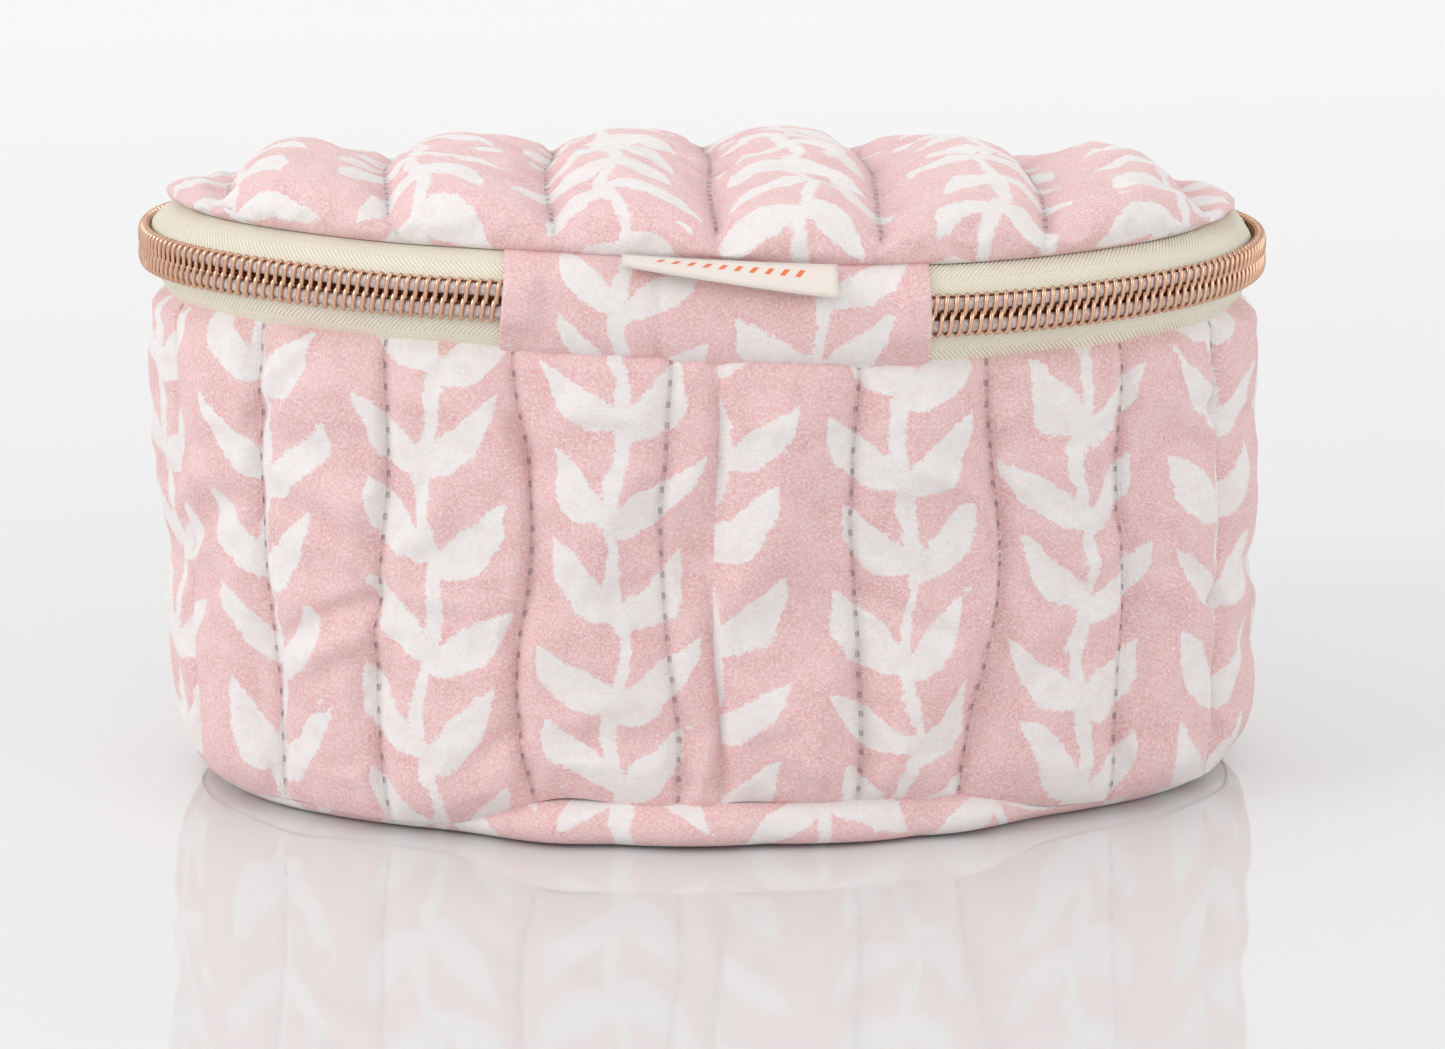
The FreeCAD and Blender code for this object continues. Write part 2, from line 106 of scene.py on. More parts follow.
# centre x and y, radius, start angle and sweep, anticlockwise from the middle of the hinge side
arcs = [
    (0, side_centre, side_radius, -math.pi / 2, side_sweep),
    (end_centre, 0, end_radius, -tangent, 2 * tangent),
    (0, -side_centre, side_radius, tangent, 2 * side_sweep),
    (-end_centre, 0, end_radius, math.pi - tangent, 2 * tangent),
    (0, side_centre, side_radius, math.pi + tangent, side_sweep),
]
arc_starts = np.cumsum([0] + [radius * sweep for _, _, radius, _, sweep in arcs])
girth = arc_starts[-1]


def on_oval(length, inset):
    """Places on the plan, and the ways out from it, at lengths round the outer face of the wall."""
    length, inset = np.broadcast_arrays(np.mod(np.asarray(length, float), girth), np.asarray(inset, float))
    place = np.zeros(length.shape + (2,))
    out = np.zeros(length.shape + (2,))
    which = np.clip(np.searchsorted(arc_starts, length, side="right") - 1, 0, len(arcs) - 1)
    for number, (cx, cy, radius, start, _) in enumerate(arcs):
        here = which == number
        angle = start + (length[here] - arc_starts[number]) / radius
        out[here] = np.stack([np.cos(angle), np.sin(angle)], -1)
        place[here] = np.array([cx, cy]) + out[here] * (radius - inset[here])[:, None]
    return place, out


print(f"the wall is {girth / MM:.1f} mm round, {2 * half_width / MM:.0f} by {2 * half_depth / MM:.0f} mm")

# %% [markdown]
# ## How the cloth has settled
#
# A sewn bag is never quite true. The rim of this one dips a little to one side of the hinge and rises at the
# far left, and the left end leans in towards its foot. The same gentle shift is given to every piece, so
# that nothing parts, and it fades out round the opening side, where the metal sliders are.

# %% Make the settling shift
def smooth_step(value, low, high):
    t = np.clip((np.asarray(value, float) - low) / (high - low), 0, 1)
    return t * t * (3 - 2 * t)


def settled(points):
    """The points, in metres, shifted as the sewn bag has settled."""
    moved = np.array(points, float)
    x, y, z = moved[..., 0].copy(), moved[..., 1].copy(), moved[..., 2].copy()
    near = 1 - smooth_step(y, -30 * MM, 25 * MM)
    high = smooth_step(z, 30 * MM, 78 * MM)
    dip = -1.5 * MM * np.sin(np.pi * np.clip(x / (90 * MM), -1, 1)) * near
    left_rise = 2.0 * MM * smooth_step(-x, 45 * MM, 90 * MM) * (1 - smooth_step(y, 20 * MM, 50 * MM))
    moved[..., 2] += (dip + left_rise) * high
    foot = 1 - smooth_step(z, 10 * MM, 80 * MM)
    moved[..., 0] += 4.0 * MM * smooth_step(-x, 50 * MM, 88 * MM) * foot
    return moved


# %% [markdown]
# ## Cloth helpers
#
# Cloth is a grid of points. The grid's own two lengths, along and across the cloth, are kept as a UV map in
# metres, because a print, a weave or a twill is laid out on the flat cloth before it is sewn.

# %% Make a mesh piece from points and faces
def add_map(mesh, name, places):
    """Gives a mesh a UV map from one place for each of its points."""
    layer = mesh.uv_layers.new(name=name)
    corners = np.zeros(len(mesh.loops), np.int32)
    mesh.loops.foreach_get("vertex_index", corners)
    layer.data.foreach_set("uv", np.asarray(places, np.float32)[corners].ravel())


def piece_from(name, points, faces, cloth_place):
    mesh = bpy.data.meshes.new(name)
    points = np.asarray(points, float).reshape(-1, 3)
    mesh.from_pydata([tuple(p) for p in points], [], [tuple(f) for f in faces])
    add_map(mesh, "cloth", np.asarray(cloth_place).reshape(-1, 2))
    mesh.polygons.foreach_set("use_smooth", [True] * len(mesh.polygons))
    piece = bpy.data.objects.new(name, mesh)
    bpy.context.scene.collection.objects.link(piece)
    return piece


def grid_faces(rows, columns, closed=False):
    """Faces of a grid of points, row by row. A closed grid joins its last column to its first."""
    faces = []
    for r in range(rows - 1):
        for c in range(columns if closed else columns - 1):
            d = (c + 1) % columns
            faces.append((r * columns + c, r * columns + d, (r + 1) * columns + d, (r + 1) * columns + c))
    return faces


def grid_piece(name, points, cloth_place, closed=False, flip=False):
    """A sheet of cloth from rows of points. At the seam of a closed grid the UVs run on past the girth."""
    rows, columns = points.shape[:2]
    faces = grid_faces(rows, columns, closed)
    piece = piece_from(name, points, [f[::-1] for f in faces] if flip else faces, cloth_place)
    if closed:
        layer = piece.data.uv_layers["cloth"]
        around = cloth_place[0, 1, 0] - cloth_place[0, 0, 0]
        for face in piece.data.polygons:
            spots = [layer.data[i] for i in face.loop_indices]
            if max(s.uv[0] for s in spots) - min(s.uv[0] for s in spots) > 20 * abs(around):
                for spot in spots:
                    if spot.uv[0] < girth / 2:
                        spot.uv[0] += girth
    return piece


def finish_piece(piece, body, material, replaces=(), levels=0):
    """Rounds the piece with subdivision, gives it its material, and sets it on its body."""
    if levels:
        modifier = piece.modifiers.new("round", "SUBSURF")
        modifier.levels = modifier.render_levels = levels
        apply_modifiers(piece)
    piece.data.materials.clear()
    piece.data.materials.append(material)
    if replaces:
        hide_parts(*replaces)
    if body:
        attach(piece, body)
    print(f"{piece.name}: {len(piece.data.vertices)} points")
    return piece


def apply_modifiers(piece):
    """Puts the piece's modifiers into its mesh."""
    evaluated = piece.evaluated_get(bpy.context.evaluated_depsgraph_get())
    made = bpy.data.meshes.new_from_object(evaluated)
    piece.modifiers.clear()
    piece.data = made


# %% [markdown]
# ## Settling the quilted cloth
#
# Between its rows of stitches quilted cloth is pushed out by the wadding, and it puckers because the thread
# gathers it. We could model the puckers by hand, but a cloth simulation finds them: the stitched points are
# held, the cloth is let grow a little, and a light pressure fills it. A cap keeps any point near where it
# began.

# %% Run a short cloth simulation
def relax_cloth(piece, sewn, growth, pressure, frames, cap):
    """Lets the cloth settle with its sewn points held, and keeps the shape it comes to."""
    start = np.array([v.co for v in piece.data.vertices])
    group = piece.vertex_groups.new(name="sewn")
    group.add([int(i) for i in sewn], 1.0, "REPLACE")
    modifier = piece.modifiers.new("settle", "CLOTH")
    cloth = modifier.settings
    cloth.vertex_group_mass = "sewn"
    cloth.quality = 4
    cloth.mass = 0.05
    cloth.air_damping = 4
    cloth.tension_stiffness = 12
    cloth.compression_stiffness = 12
    cloth.shear_stiffness = 4
    cloth.bending_stiffness = 0.05
    cloth.use_pressure = True
    cloth.uniform_pressure_force = pressure
    cloth.shrink_min = -growth
    cloth.effector_weights.gravity = 0
    modifier.point_cache.frame_start = 1
    modifier.point_cache.frame_end = frames
    scene = bpy.context.scene
    for number in range(1, frames + 1):
        scene.frame_set(number)
    evaluated = piece.evaluated_get(bpy.context.evaluated_depsgraph_get())
    end = np.array([v.co for v in evaluated.data.vertices])
    piece.modifiers.clear()
    piece.vertex_groups.clear()
    scene.frame_set(1)
    shift = end - start
    length = np.linalg.norm(shift, axis=1, keepdims=True)
    shift *= np.minimum(1, cap / np.maximum(length, TINY))
    piece.data.vertices.foreach_set("co", (start + shift).astype(np.float32).ravel())
    piece.data.update()
    print(f"{piece.name} settled: {length.mean() / MM:.2f} mm on average, {length.max() / MM:.2f} mm at most")


# %% [markdown]
# ## Writing a material as sums
#
# A procedural material is a sum done at every point of a surface. Wiring it node by node is hard to read, so
# one small class wraps a node's output: arithmetic on it adds Math nodes, and its `node` method adds any
# other node.

# %% Wrap a socket
class Wire:
    def __init__(self, tree, socket=None):
        self.tree = tree
        self.socket = socket

    def node(self, kind, settings=None, sockets=None, output=0):
        """Adds a node: its settings first, then the values or links of its sockets."""
        made = self.tree.nodes.new(kind)
        for name, value in (settings or {}).items():
            if name == "stops":
                ramp = made.color_ramp
                while len(ramp.elements) < len(value):
                    ramp.elements.new(0.5)
                for element, (position, colour) in zip(ramp.elements, value):
                    element.position = position
                    element.color = colour
            else:
                setattr(made, name, value)
        for key, value in (sockets or {}).items():
            if isinstance(value, Wire):
                self.tree.links.new(value.socket, made.inputs[key])
            else:
                made.inputs[key].default_value = value
        return Wire(self.tree, made.outputs[output])

    def math(self, operation, *values):
        return self.node("ShaderNodeMath", {"operation": operation}, dict(enumerate(values)))

    def __add__(self, other):
        return self.math("ADD", self, other)

    def __radd__(self, other):
        return self.math("ADD", other, self)

    def __sub__(self, other):
        return self.math("SUBTRACT", self, other)

    def __rsub__(self, other):
        return self.math("SUBTRACT", other, self)

    def __mul__(self, other):
        return self.math("MULTIPLY", self, other)

    def __rmul__(self, other):
        return self.math("MULTIPLY", other, self)

    def __truediv__(self, other):
        return self.math("DIVIDE", self, other)

    def __abs__(self):
        return self.math("ABSOLUTE", self)

    def sin(self):
        return self.math("SINE", self)

    def cos(self):
        return self.math("COSINE", self)

    def larger(self, other):
        return self.math("MAXIMUM", self, other)

    def power(self, exponent):
        return self.math("POWER", self, exponent)

    def floor(self):
        return self.math("FLOOR", self)

    def greater(self, other):
        return self.math("GREATER_THAN", self, other)

    def clamped(self):
        return self.node("ShaderNodeClamp", {}, {"Value": self})

    def eased(self, low, high):
        """0 below low, 1 above high, and smooth between."""
        return self.node("ShaderNodeMapRange", {"interpolation_type": "SMOOTHSTEP"},
                         {"Value": self, "From Min": low, "From Max": high})

    def parts(self):
        split = self.node("ShaderNodeSeparateXYZ", {}, {0: self})
        return [Wire(self.tree, socket) for socket in split.socket.node.outputs]

    def vector(self, x, y, z=0.0):
        return self.node("ShaderNodeCombineXYZ", {}, {0: x, 1: y, 2: z})

    def blend(self, first, second, share):
        """A colour between two, by a share from 0 to 1."""
        return self.node("ShaderNodeMix", {"data_type": "RGBA"}, {0: share, 6: first, 7: second}, 2)

    def noise(self, place, scale, detail=2.0, roughness=0.5, distortion=0.0):
        """Soft random values from 0 to 1 at a place in metres."""
        return self.node("ShaderNodeTexNoise", {}, {"Vector": place, "Scale": scale, "Detail": detail,
                                                    "Roughness": roughness, "Distortion": distortion})

    def chance(self, place):
        """One random value for each whole-number place."""
        return self.node("ShaderNodeTexWhiteNoise", {"noise_dimensions": "3D"}, {"Vector": place})


def new_material(name, sheen=0.0, sheen_roughness=0.5, specular=0.5):
    """A material with its shader, and a Wire to start expressions from."""
    material = bpy.data.materials.new(name)
    material.use_nodes = True
    shader = material.node_tree.nodes["Principled BSDF"]
    shader.inputs["Sheen Weight"].default_value = sheen
    shader.inputs["Sheen Roughness"].default_value = sheen_roughness
    shader.inputs["Specular IOR Level"].default_value = specular
    return material, shader, Wire(material.node_tree)


def feed(shader, name, value):
    """Sets a shader's socket, or links a Wire to it."""
    if isinstance(value, Wire):
        value.tree.links.new(value.socket, shader.inputs[name])
    else:
        shader.inputs[name].default_value = value


def add_bump(wire, shader, height, depth):
    """A bump, in metres, that feeds the shader's normal."""
    bump = wire.node("ShaderNodeBump", {}, {"Height": height, "Distance": depth, "Strength": 1.0})
    feed(shader, "Normal", bump)


def cloth_position(wire):
    """The place on the flat cloth, in metres."""
    return wire.node("ShaderNodeUVMap", {"uv_map": "cloth"})


# %% [markdown]
# ## Plain weave
#
# Cotton is a plain weave: each thread goes over one and under the next. Two sine waves across each other give
# the small hills, and a stretched noise along each thread gives the slubs of a cheap, soft cotton.

# %% Make the weave
COTTON_PITCH = 0.42 * MM


def plain_weave(wire, place, pitch):
    """The height of a plain weave from 0 to 1, and its slubs."""
    x, y, _ = place.parts()
    turn = 2 * math.pi / pitch
    over = (x * turn).sin() * (y * turn).sin() * 0.25 + 0.5
    warp_slub = wire.noise(wire.vector(x * 4.0, y * 0.5), 900.0, 1.0)
    weft_slub = wire.noise(wire.vector(x * 0.5, y * 4.0), 900.0, 1.0)
    slub = warp_slub * 0.5 + weft_slub * 0.5
    return over, slub


# %% [markdown]
# ## The block print
#
# The cloth is printed by hand with a carved block: leafy vines left white in a pink ground. The vines are
# worked out at every point, so that they stay sharp close up. The cloth is divided into one cell for each
# pair of leaves. In a cell, a leaf is the set of points near a short bent line, wide in the middle and
# pointed at the tip. Noise roughens its edge as a wooden block does, and random numbers for each leaf change
# its length, width and tilt.

# %% Draw the vines
VINE_SPACING = 29.8 * MM
FIRST_VINE = -0.5 * MM
LEAF_PITCH = 14.6 * MM


def vine_print(wire, place):
    """How far a point is inside the white of the print, in metres; below 0 is pink ground."""
    wobble = wire.noise(place, 90.0, 2.0) - 0.5
    sway = wire.noise(wire.node("ShaderNodeVectorMath", {"operation": "ADD"}, {0: place, 1: (3.1, 1.7, 0.4)}),
                      90.0, 2.0) - 0.5
    rough = wire.noise(place, 800.0, 4.0, 0.85) - 0.5
    x, y, _ = place.parts()
    x = x + wobble * (4.5 * MM) - FIRST_VINE + VINE_SPACING / 2
    y = y + sway * (5.0 * MM)
    column = (x / VINE_SPACING).floor()
    across = x - (column + 0.5) * VINE_SPACING
    along = y + wire.chance(wire.vector(column, 7.0)) * LEAF_PITCH
    across = across - (along * (2 * math.pi / (33 * MM)) + column * 2.1).sin() * (1.3 * MM)
    side = across.greater(0.0)
    shifted = along + side * (1.8 * MM) + 2.0 * MM
    row = (shifted / LEAF_PITCH).floor()
    up = shifted - row * LEAF_PITCH - 2.0 * MM
    leaf_number = wire.vector(column, row, side)
    luck = wire.node("ShaderNodeTexWhiteNoise", {"noise_dimensions": "3D"}, {"Vector": leaf_number}, 1)
    long_luck, wide_luck, tilt_luck = luck.parts()
    away = abs(across)

    def leaf_at(up):
        """One leaf that springs from the stem and sweeps out and up to a point."""
        tilt = tilt_luck * 0.32 + 0.62
        cosine, sine = tilt.cos(), tilt.sin()
        length = long_luck * (3.0 * MM) + 15.0 * MM
        reach = (away * cosine + up * sine) / length
        sag = reach * (1.0 - reach) * (-5.6 * MM)
        off_axis = up * cosine - away * sine - sag
        from_stem, from_tip = reach.larger(0.0), (1.0 - reach).larger(0.0)
        widest = (wide_luck * (0.8 * MM) + 2.7 * MM) * 2.35
        half = widest * from_stem.power(0.50) * from_tip.power(0.80)
        inside = reach.greater(0.0) * (1.0 - reach.greater(1.0))
        return (half - abs(off_axis)) * inside - (1.0 - inside) * (2.0 * MM)

    leaves = leaf_at(up).larger(leaf_at(up + LEAF_PITCH))
    stem = (wobble * (2.4 * MM) + 1.3 * MM) - away
    white = leaves.node("ShaderNodeMath", {"operation": "SMOOTH_MAX"}, {0: leaves, 1: stem, 2: 1.4 * MM})
    return white + rough * (3.0 * MM) - 0.10 * MM


# %% [markdown]
# ## Printed cotton
#
# The white parts are bare cloth that took a thin veil of colour, so they are mottled, and the pink is a
# little uneven too. The dents of the needle are drawn along each row of stitches, as bumps with painted
# shade in the holes and the crease of each row, with a second UV map that holds the distance from the
# nearest row and the length along it.

# %% Make the printed cotton
PINK_DEEP = (0.735, 0.402, 0.404, 1)
PINK_SOFT = (0.798, 0.505, 0.502, 1)
PINK_PALE = (0.872, 0.690, 0.682, 1)
WHITE_BARE = (0.840, 0.812, 0.800, 1)
WHITE_VEIL = (0.820, 0.760, 0.750, 1)
WHITE_THIN = (0.810, 0.640, 0.640, 1)
LINT = (0.900, 0.840, 0.830, 1)
# painted shade for the needle holes and the creases along the stitch rows
NEEDLE_DENT_SHADE = (0.300, 0.150, 0.150, 1)
NEEDLE_SPACING = 3.3 * MM


def needle_marks(wire):
    """How much a point is in a needle hole, in the soft crease round a row, and in its sharp valley."""
    off, along, _ = wire.node("ShaderNodeUVMap", {"uv_map": "stitch_rows"}).parts()
    off = abs(off)
    beat = (along * (2 * math.pi / NEEDLE_SPACING)).sin().eased(0.45, 0.95)
    hole = (1.0 - off.eased(0.08 * MM, 0.30 * MM)) * beat
    return hole, 1.0 - off.eased(0.1 * MM, 1.3 * MM), 1.0 - off.eased(0.05 * MM, 0.45 * MM)


def printed_cotton(name, quilted):
    material, shader, wire = new_material(name, sheen=0.25, sheen_roughness=0.6, specular=0.25)
    place = cloth_position(wire)
    over, slub = plain_weave(wire, place, COTTON_PITCH)
    white = vine_print(wire, place).eased(-0.10 * MM, 0.14 * MM)
    patchy = wire.noise(place, 160.0, 3.0, 0.6)
    grain = wire.noise(place, 2300.0, 2.0, 0.6, 0.6).eased(0.34, 0.68)
    speck = wire.noise(place, 1100.0, 1.0).eased(0.70, 0.76)
    deep = wire.blend(PINK_DEEP, PINK_SOFT, patchy.eased(0.30, 0.70))
    pink = wire.blend(deep, PINK_PALE, grain * 0.80)
    veil = wire.blend(WHITE_VEIL, WHITE_BARE, wire.noise(place, 420.0, 3.0, 0.7).eased(0.35, 0.60))
    thin = wire.noise(place, 1700.0, 2.0, 0.7).eased(0.54, 0.72) * (1.2 - patchy.eased(0.35, 0.65))
    veil = wire.blend(veil, WHITE_THIN, (thin * 0.55).clamped())
    colour = wire.blend(pink, veil, white)
    colour = wire.blend(colour, LINT, speck * 0.55)
    height = over * 0.4 + slub * 0.5 + grain * 0.35
    if quilted:
        hole, soft_crease, valley = needle_marks(wire)
        # The needle holes, the soft crease round each row and its valley are painted darker as shade.
        colour = wire.blend(colour, NEEDLE_DENT_SHADE, (hole * 0.30 + soft_crease * 0.10 + valley * 0.12).clamped())
        height = height - hole * 2.0 - soft_crease * 1.2 - valley * 1.0
    feed(shader, "Base Color", colour)
    feed(shader, "Roughness", slub * 0.10 + 0.82)
    add_bump(wire, shader, height, 0.14 * MM)
    return material


quilted_cotton = printed_cotton("quilted_printed_cotton", True)
panel_cotton = printed_cotton("printed_cotton", False)
print("printed cotton has", len(quilted_cotton.node_tree.nodes), "nodes")

# %% [markdown]
# ## Lining, binding and thread
#
# The inside is lined with unprinted cotton and its raw seams are bound with pink bias tape. Both are plain
# weaves with their own colours. The thread is a soft pale cotton, with twist marks instead of a weave; the
# grooves of its twist are painted darker as shade.

# %% Make the plain cloths
# The third colour is painted shade for the lining's needle holes and row creases.
LINING_LIGHT, LINING_DARK, LINING_DENT_SHADE = (0.80, 0.755, 0.69, 1), (0.74, 0.69, 0.62, 1), (0.30, 0.24, 0.19, 1)
BINDING_LIGHT, BINDING_DARK = (0.80, 0.50, 0.50, 1), (0.74, 0.43, 0.44, 1)


def plain_cloth(name, light, dark, quilted=False):
    material, shader, wire = new_material(name, sheen=0.2, specular=0.25)
    place = cloth_position(wire)
    over, slub = plain_weave(wire, place, COTTON_PITCH)
    mottle = wire.noise(place, 120.0, 3.0, 0.6)
    colour = wire.blend(dark, light, (mottle * 0.5 + slub * 0.5).eased(0.3, 0.7))
    height = over * 0.6 + slub * 0.6
    if quilted:
        hole, soft_crease, _ = needle_marks(wire)
        # The needle holes and the crease round each row are painted darker as shade.
        colour = wire.blend(colour, LINING_DENT_SHADE, (hole * 0.35 + soft_crease * 0.14).clamped())
        height = height - hole * 2.0 - soft_crease * 1.2
    feed(shader, "Base Color", colour)
    feed(shader, "Roughness", slub * 0.1 + 0.8)
    add_bump(wire, shader, height, 0.1 * MM)
    return material


quilted_lining = plain_cloth("quilted_lining_cotton", LINING_LIGHT, LINING_DARK, quilted=True)
lining_cotton = plain_cloth("lining_cotton", LINING_LIGHT, LINING_DARK)
binding_cotton = plain_cloth("binding_cotton", BINDING_LIGHT, BINDING_DARK)


def thread_material():
    material, shader, wire = new_material("pale_thread", sheen=0.3, specular=0.3)
    x, y, _ = cloth_position(wire).parts()
    twist = ((x * 1.0 + y * 0.6) * (2 * math.pi / (0.35 * MM))).sin() * 0.5 + 0.5
    # The grooves between the twist's turns are painted darker as shade.
    feed(shader, "Base Color", wire.blend((0.70, 0.52, 0.50, 1), (0.84, 0.74, 0.72, 1), twist))
    feed(shader, "Roughness", 0.75)
    add_bump(wire, shader, twist, 0.05 * MM)
    return material


pale_thread = thread_material()

# %% [markdown]
# ## Zip tape and label
#
# A zip's tape is woven in a herringbone: bands of fine slanting ribs that change direction. In the tape's own
# lengths a rib is a sine of the sum or the difference of the two, and the bands choose which. The label is a
# finer plain tape with a row of small orange dashes, a motif of our own.

# %% Make the tape and the label
TAPE_DARK, TAPE_LIGHT = (0.76, 0.67, 0.50, 1), (0.93, 0.88, 0.75, 1)
LABEL_DARK, LABEL_LIGHT, DASH_ORANGE = (0.80, 0.70, 0.62, 1), (0.87, 0.80, 0.74, 1), (0.80, 0.18, 0.06, 1)


def herringbone_tape():
    material, shader, wire = new_material("herringbone_tape", sheen=0.3, specular=0.35)
    place = cloth_position(wire)
    x, y, _ = place.parts()
    band = (y / (4.2 * MM)).floor()
    odd = (band * math.pi).cos()
    rib = ((x + y * odd) * (2 * math.pi / (0.80 * MM))).sin() * 0.5 + 0.5
    fibre = wire.noise(place, 1800.0, 2.0, 0.6)
    # The grooves between the ribs are painted darker as shade.
    shade = rib.eased(0.0, 0.60) * 0.85 + fibre * 0.15
    feed(shader, "Base Color", wire.blend(TAPE_DARK, TAPE_LIGHT, shade))
    feed(shader, "Roughness", fibre * 0.15 + 0.62)
    add_bump(wire, shader, rib * 0.9 + fibre * 0.3, 0.18 * MM)
    return material


def label_material():
    material, shader, wire = new_material("label_tape", sheen=0.2, specular=0.3)
    place = cloth_position(wire)
    x, y, _ = place.parts()
    over, slub = plain_weave(wire, place, 0.30 * MM)
    dash_spacing, dash_line = 2.4 * MM, 2.6 * MM
    cell = (x / dash_spacing).floor()
    within = x - (cell + 0.5) * dash_spacing
    above = y - dash_line
    slant = abs(within + above * 0.5)
    dash = (1.0 - slant.eased(0.35 * MM, 0.50 * MM)) * (1.0 - abs(above).eased(0.85 * MM, 1.0 * MM))
    ends = (1.0 - abs(x).eased(12.4 * MM, 12.6 * MM))
    cream = wire.blend(LABEL_DARK, LABEL_LIGHT, slub)
    feed(shader, "Base Color", wire.blend(cream, DASH_ORANGE, dash * ends))
    feed(shader, "Roughness", 0.75)
    add_bump(wire, shader, over + slub * 0.5 + dash * ends * 0.6, 0.06 * MM)
    return material


zip_tape = herringbone_tape()
label_tape = label_material()

# %% [markdown]
# ## Rose gold
#
# The coil is nylon with a vacuum-plated skin of rose gold, and the sliders are plated metal. Both are
# metallic with a low roughness, and the coil is a little rougher. On both, creases are painted darker and
# redder as shade, and convex edges are paler, which on the coil is a painted highlight. The sliders also
# have fine rubbing marks.

# %% Make the metals
def rose_gold(name, light, dark, rough, scratch_scale):
    material, shader, wire = new_material(name)
    place = wire.node("ShaderNodeTexCoord", {}, {}, "Object")
    cloudy = wire.noise(place, 180.0, 3.0, 0.6)
    rub = wire.noise(place, scratch_scale, 2.0, 0.7)
    # Pointiness: creases take the dark colour as painted shade, and convex edges the light one, a painted
    # highlight on the coil.
    pale_edges_and_crease_shade = wire.node("ShaderNodeNewGeometry", {}, {}, "Pointiness").eased(0.50, 0.56)
    feed(shader, "Base Color", wire.blend(dark, light, (cloudy * 0.5 + rub * 0.3 + pale_edges_and_crease_shade * 0.4).clamped()))
    feed(shader, "Metallic", 1.0)
    feed(shader, "Roughness", rub * 0.14 + rough)
    add_bump(wire, shader, rub, 0.01 * MM)
    return material


def plain_shade(name, light, dark, rough):
    """A cloth or a thread in shade, mottled along its length."""
    material, shader, wire = new_material(name, specular=0.3)
    place = wire.node("ShaderNodeTexCoord", {}, {}, "Object")
    twist = wire.noise(place, 1600.0, 2.0, 0.7)
    feed(shader, "Base Color", wire.blend(dark, light, twist.eased(0.35, 0.65)))
    feed(shader, "Roughness", twist * 0.2 + rough)
    add_bump(wire, shader, twist, 0.08 * MM)
    return material


# The coil backs are painted dark brown as the shade between the coil's loops.
coil_shade = plain_shade("coil_backs_painted_shade", (0.30, 0.13, 0.07, 1), (0.13, 0.05, 0.03, 1), 0.45)
filler_cord = plain_shade("filler_cord", (0.74, 0.66, 0.65, 1), (0.52, 0.42, 0.41, 1), 0.6)
coil_gold = rose_gold("coil_rose_gold", (0.93, 0.66, 0.49, 1), (0.55, 0.29, 0.18, 1), 0.15, 2500.0)
slider_gold = rose_gold("slider_rose_gold", (0.95, 0.66, 0.50, 1), (0.82, 0.50, 0.36, 1), 0.14, 4000.0)

# %% [markdown]
# ## The quilted wall
#
# The wall is one long strip, quilted in upright rows about as far apart as a thumb is wide, and joined into a
# tube by one closing seam at the back. Its mesh has a line of points on every row, so that the cloth can be
# pinned there exactly. The rows were sewn by hand and eye, so they wander a little.

# %% Place the rows of stitches
foot_height, rim_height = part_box("wall_outer")[0][2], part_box("wall_outer")[1][2]
first_row, last_row, row_count = 22.0 * MM, 7.5 * MM, 20
row_places = np.linspace(first_row, girth - last_row, row_count)
seams_and_rows = np.concatenate([[0.0], row_places, [girth]])
wander = random.Random(5)
row_waves = [(wander.uniform(0.3, 1.1) * MM, wander.uniform(40, 75) * MM, wander.uniform(0, 6.28),
              wander.uniform(-1.2, 1.2) * MM) for _ in seams_and_rows]
row_waves[0] = row_waves[-1] = (0.4 * MM, 60 * MM, 0.5, 0.6 * MM)
row_waves[2] = (1.6 * MM, 62 * MM, 3.6, -5.0 * MM)
row_waves[-3] = (1.5 * MM, 58 * MM, 2.2, 1.5 * MM)


def row_line(number, height):
    """How far round the wall a row of stitches is at each height."""
    size, wave, start, slant = row_waves[number]
    down = 1 - height / rim_height
    return seams_and_rows[number] + size * np.sin(2 * np.pi * height / wave + start) + slant * down ** 2


print(row_count, "rows of stitches,", round(float(row_places[1] - row_places[0]) / MM, 1), "mm apart")

# %% Shape the quilted wall
wall_levels = 50


def wall_columns():
    """Columns of points for each channel: its number, and the share of the way across it."""
    columns = []
    for channel in range(len(seams_and_rows) - 1):
        width = seams_and_rows[channel + 1] - seams_and_rows[channel]
        count = max(4, round(width / (1.52 * MM)))
        columns += [(channel, step / count, width) for step in range(count)]
    return columns


def gentle_waves(a, b, seed, size):
    """Smooth hills and hollows from a few crossed waves, about that size across, from -1 to 1."""
    luck = random.Random(seed)
    total = np.zeros(np.broadcast(a, b).shape)
    for _ in range(6):
        angle, start = luck.uniform(0, math.pi), luck.uniform(0, 6.28)
        wave = size * luck.uniform(0.7, 1.5)
        total += np.sin((a * math.cos(angle) + b * math.sin(angle)) * 2 * math.pi / wave + start)
    return total / 3.2


columns = wall_columns()
channel_of = np.array([c[0] for c in columns])
share = np.array([c[1] for c in columns])
channel_width = np.array([c[2] for c in columns])
heights = np.linspace(foot_height, rim_height, wall_levels)
H = heights[:, None] * np.ones(len(columns))
left_line = np.array([[row_line(c, h) for c in channel_of] for h in heights])
right_line = np.array([[row_line(c + 1, h) for c in channel_of] for h in heights])
L = left_line * (1 - share) + right_line * share
S = np.ones_like(H) * share


def crease(length, height, start, end, width, depth):
    """How far in a fold between two places (round, up) presses the cloth; below 0 it swells out."""
    a, b = np.array(start) * MM, np.array(end) * MM
    way = (b - a) / np.linalg.norm(b - a)
    far = np.mod(length - a[0] + girth / 2, girth) - girth / 2
    along = far * way[0] + (height - a[1]) * way[1]
    off = -far * way[1] + (height - a[1]) * way[0]
    span = np.linalg.norm(b - a)
    ends = smooth_step(along, -0.3 * span, 0.25 * span) * (1 - smooth_step(along, 0.75 * span, 1.3 * span))
    width = width * MM
    profile = np.exp(-(off / width) ** 2) - 0.55 * np.exp(-((off - 2.2 * width) / (1.3 * width)) ** 2)
    return 1.5 * depth * MM * ends * profile


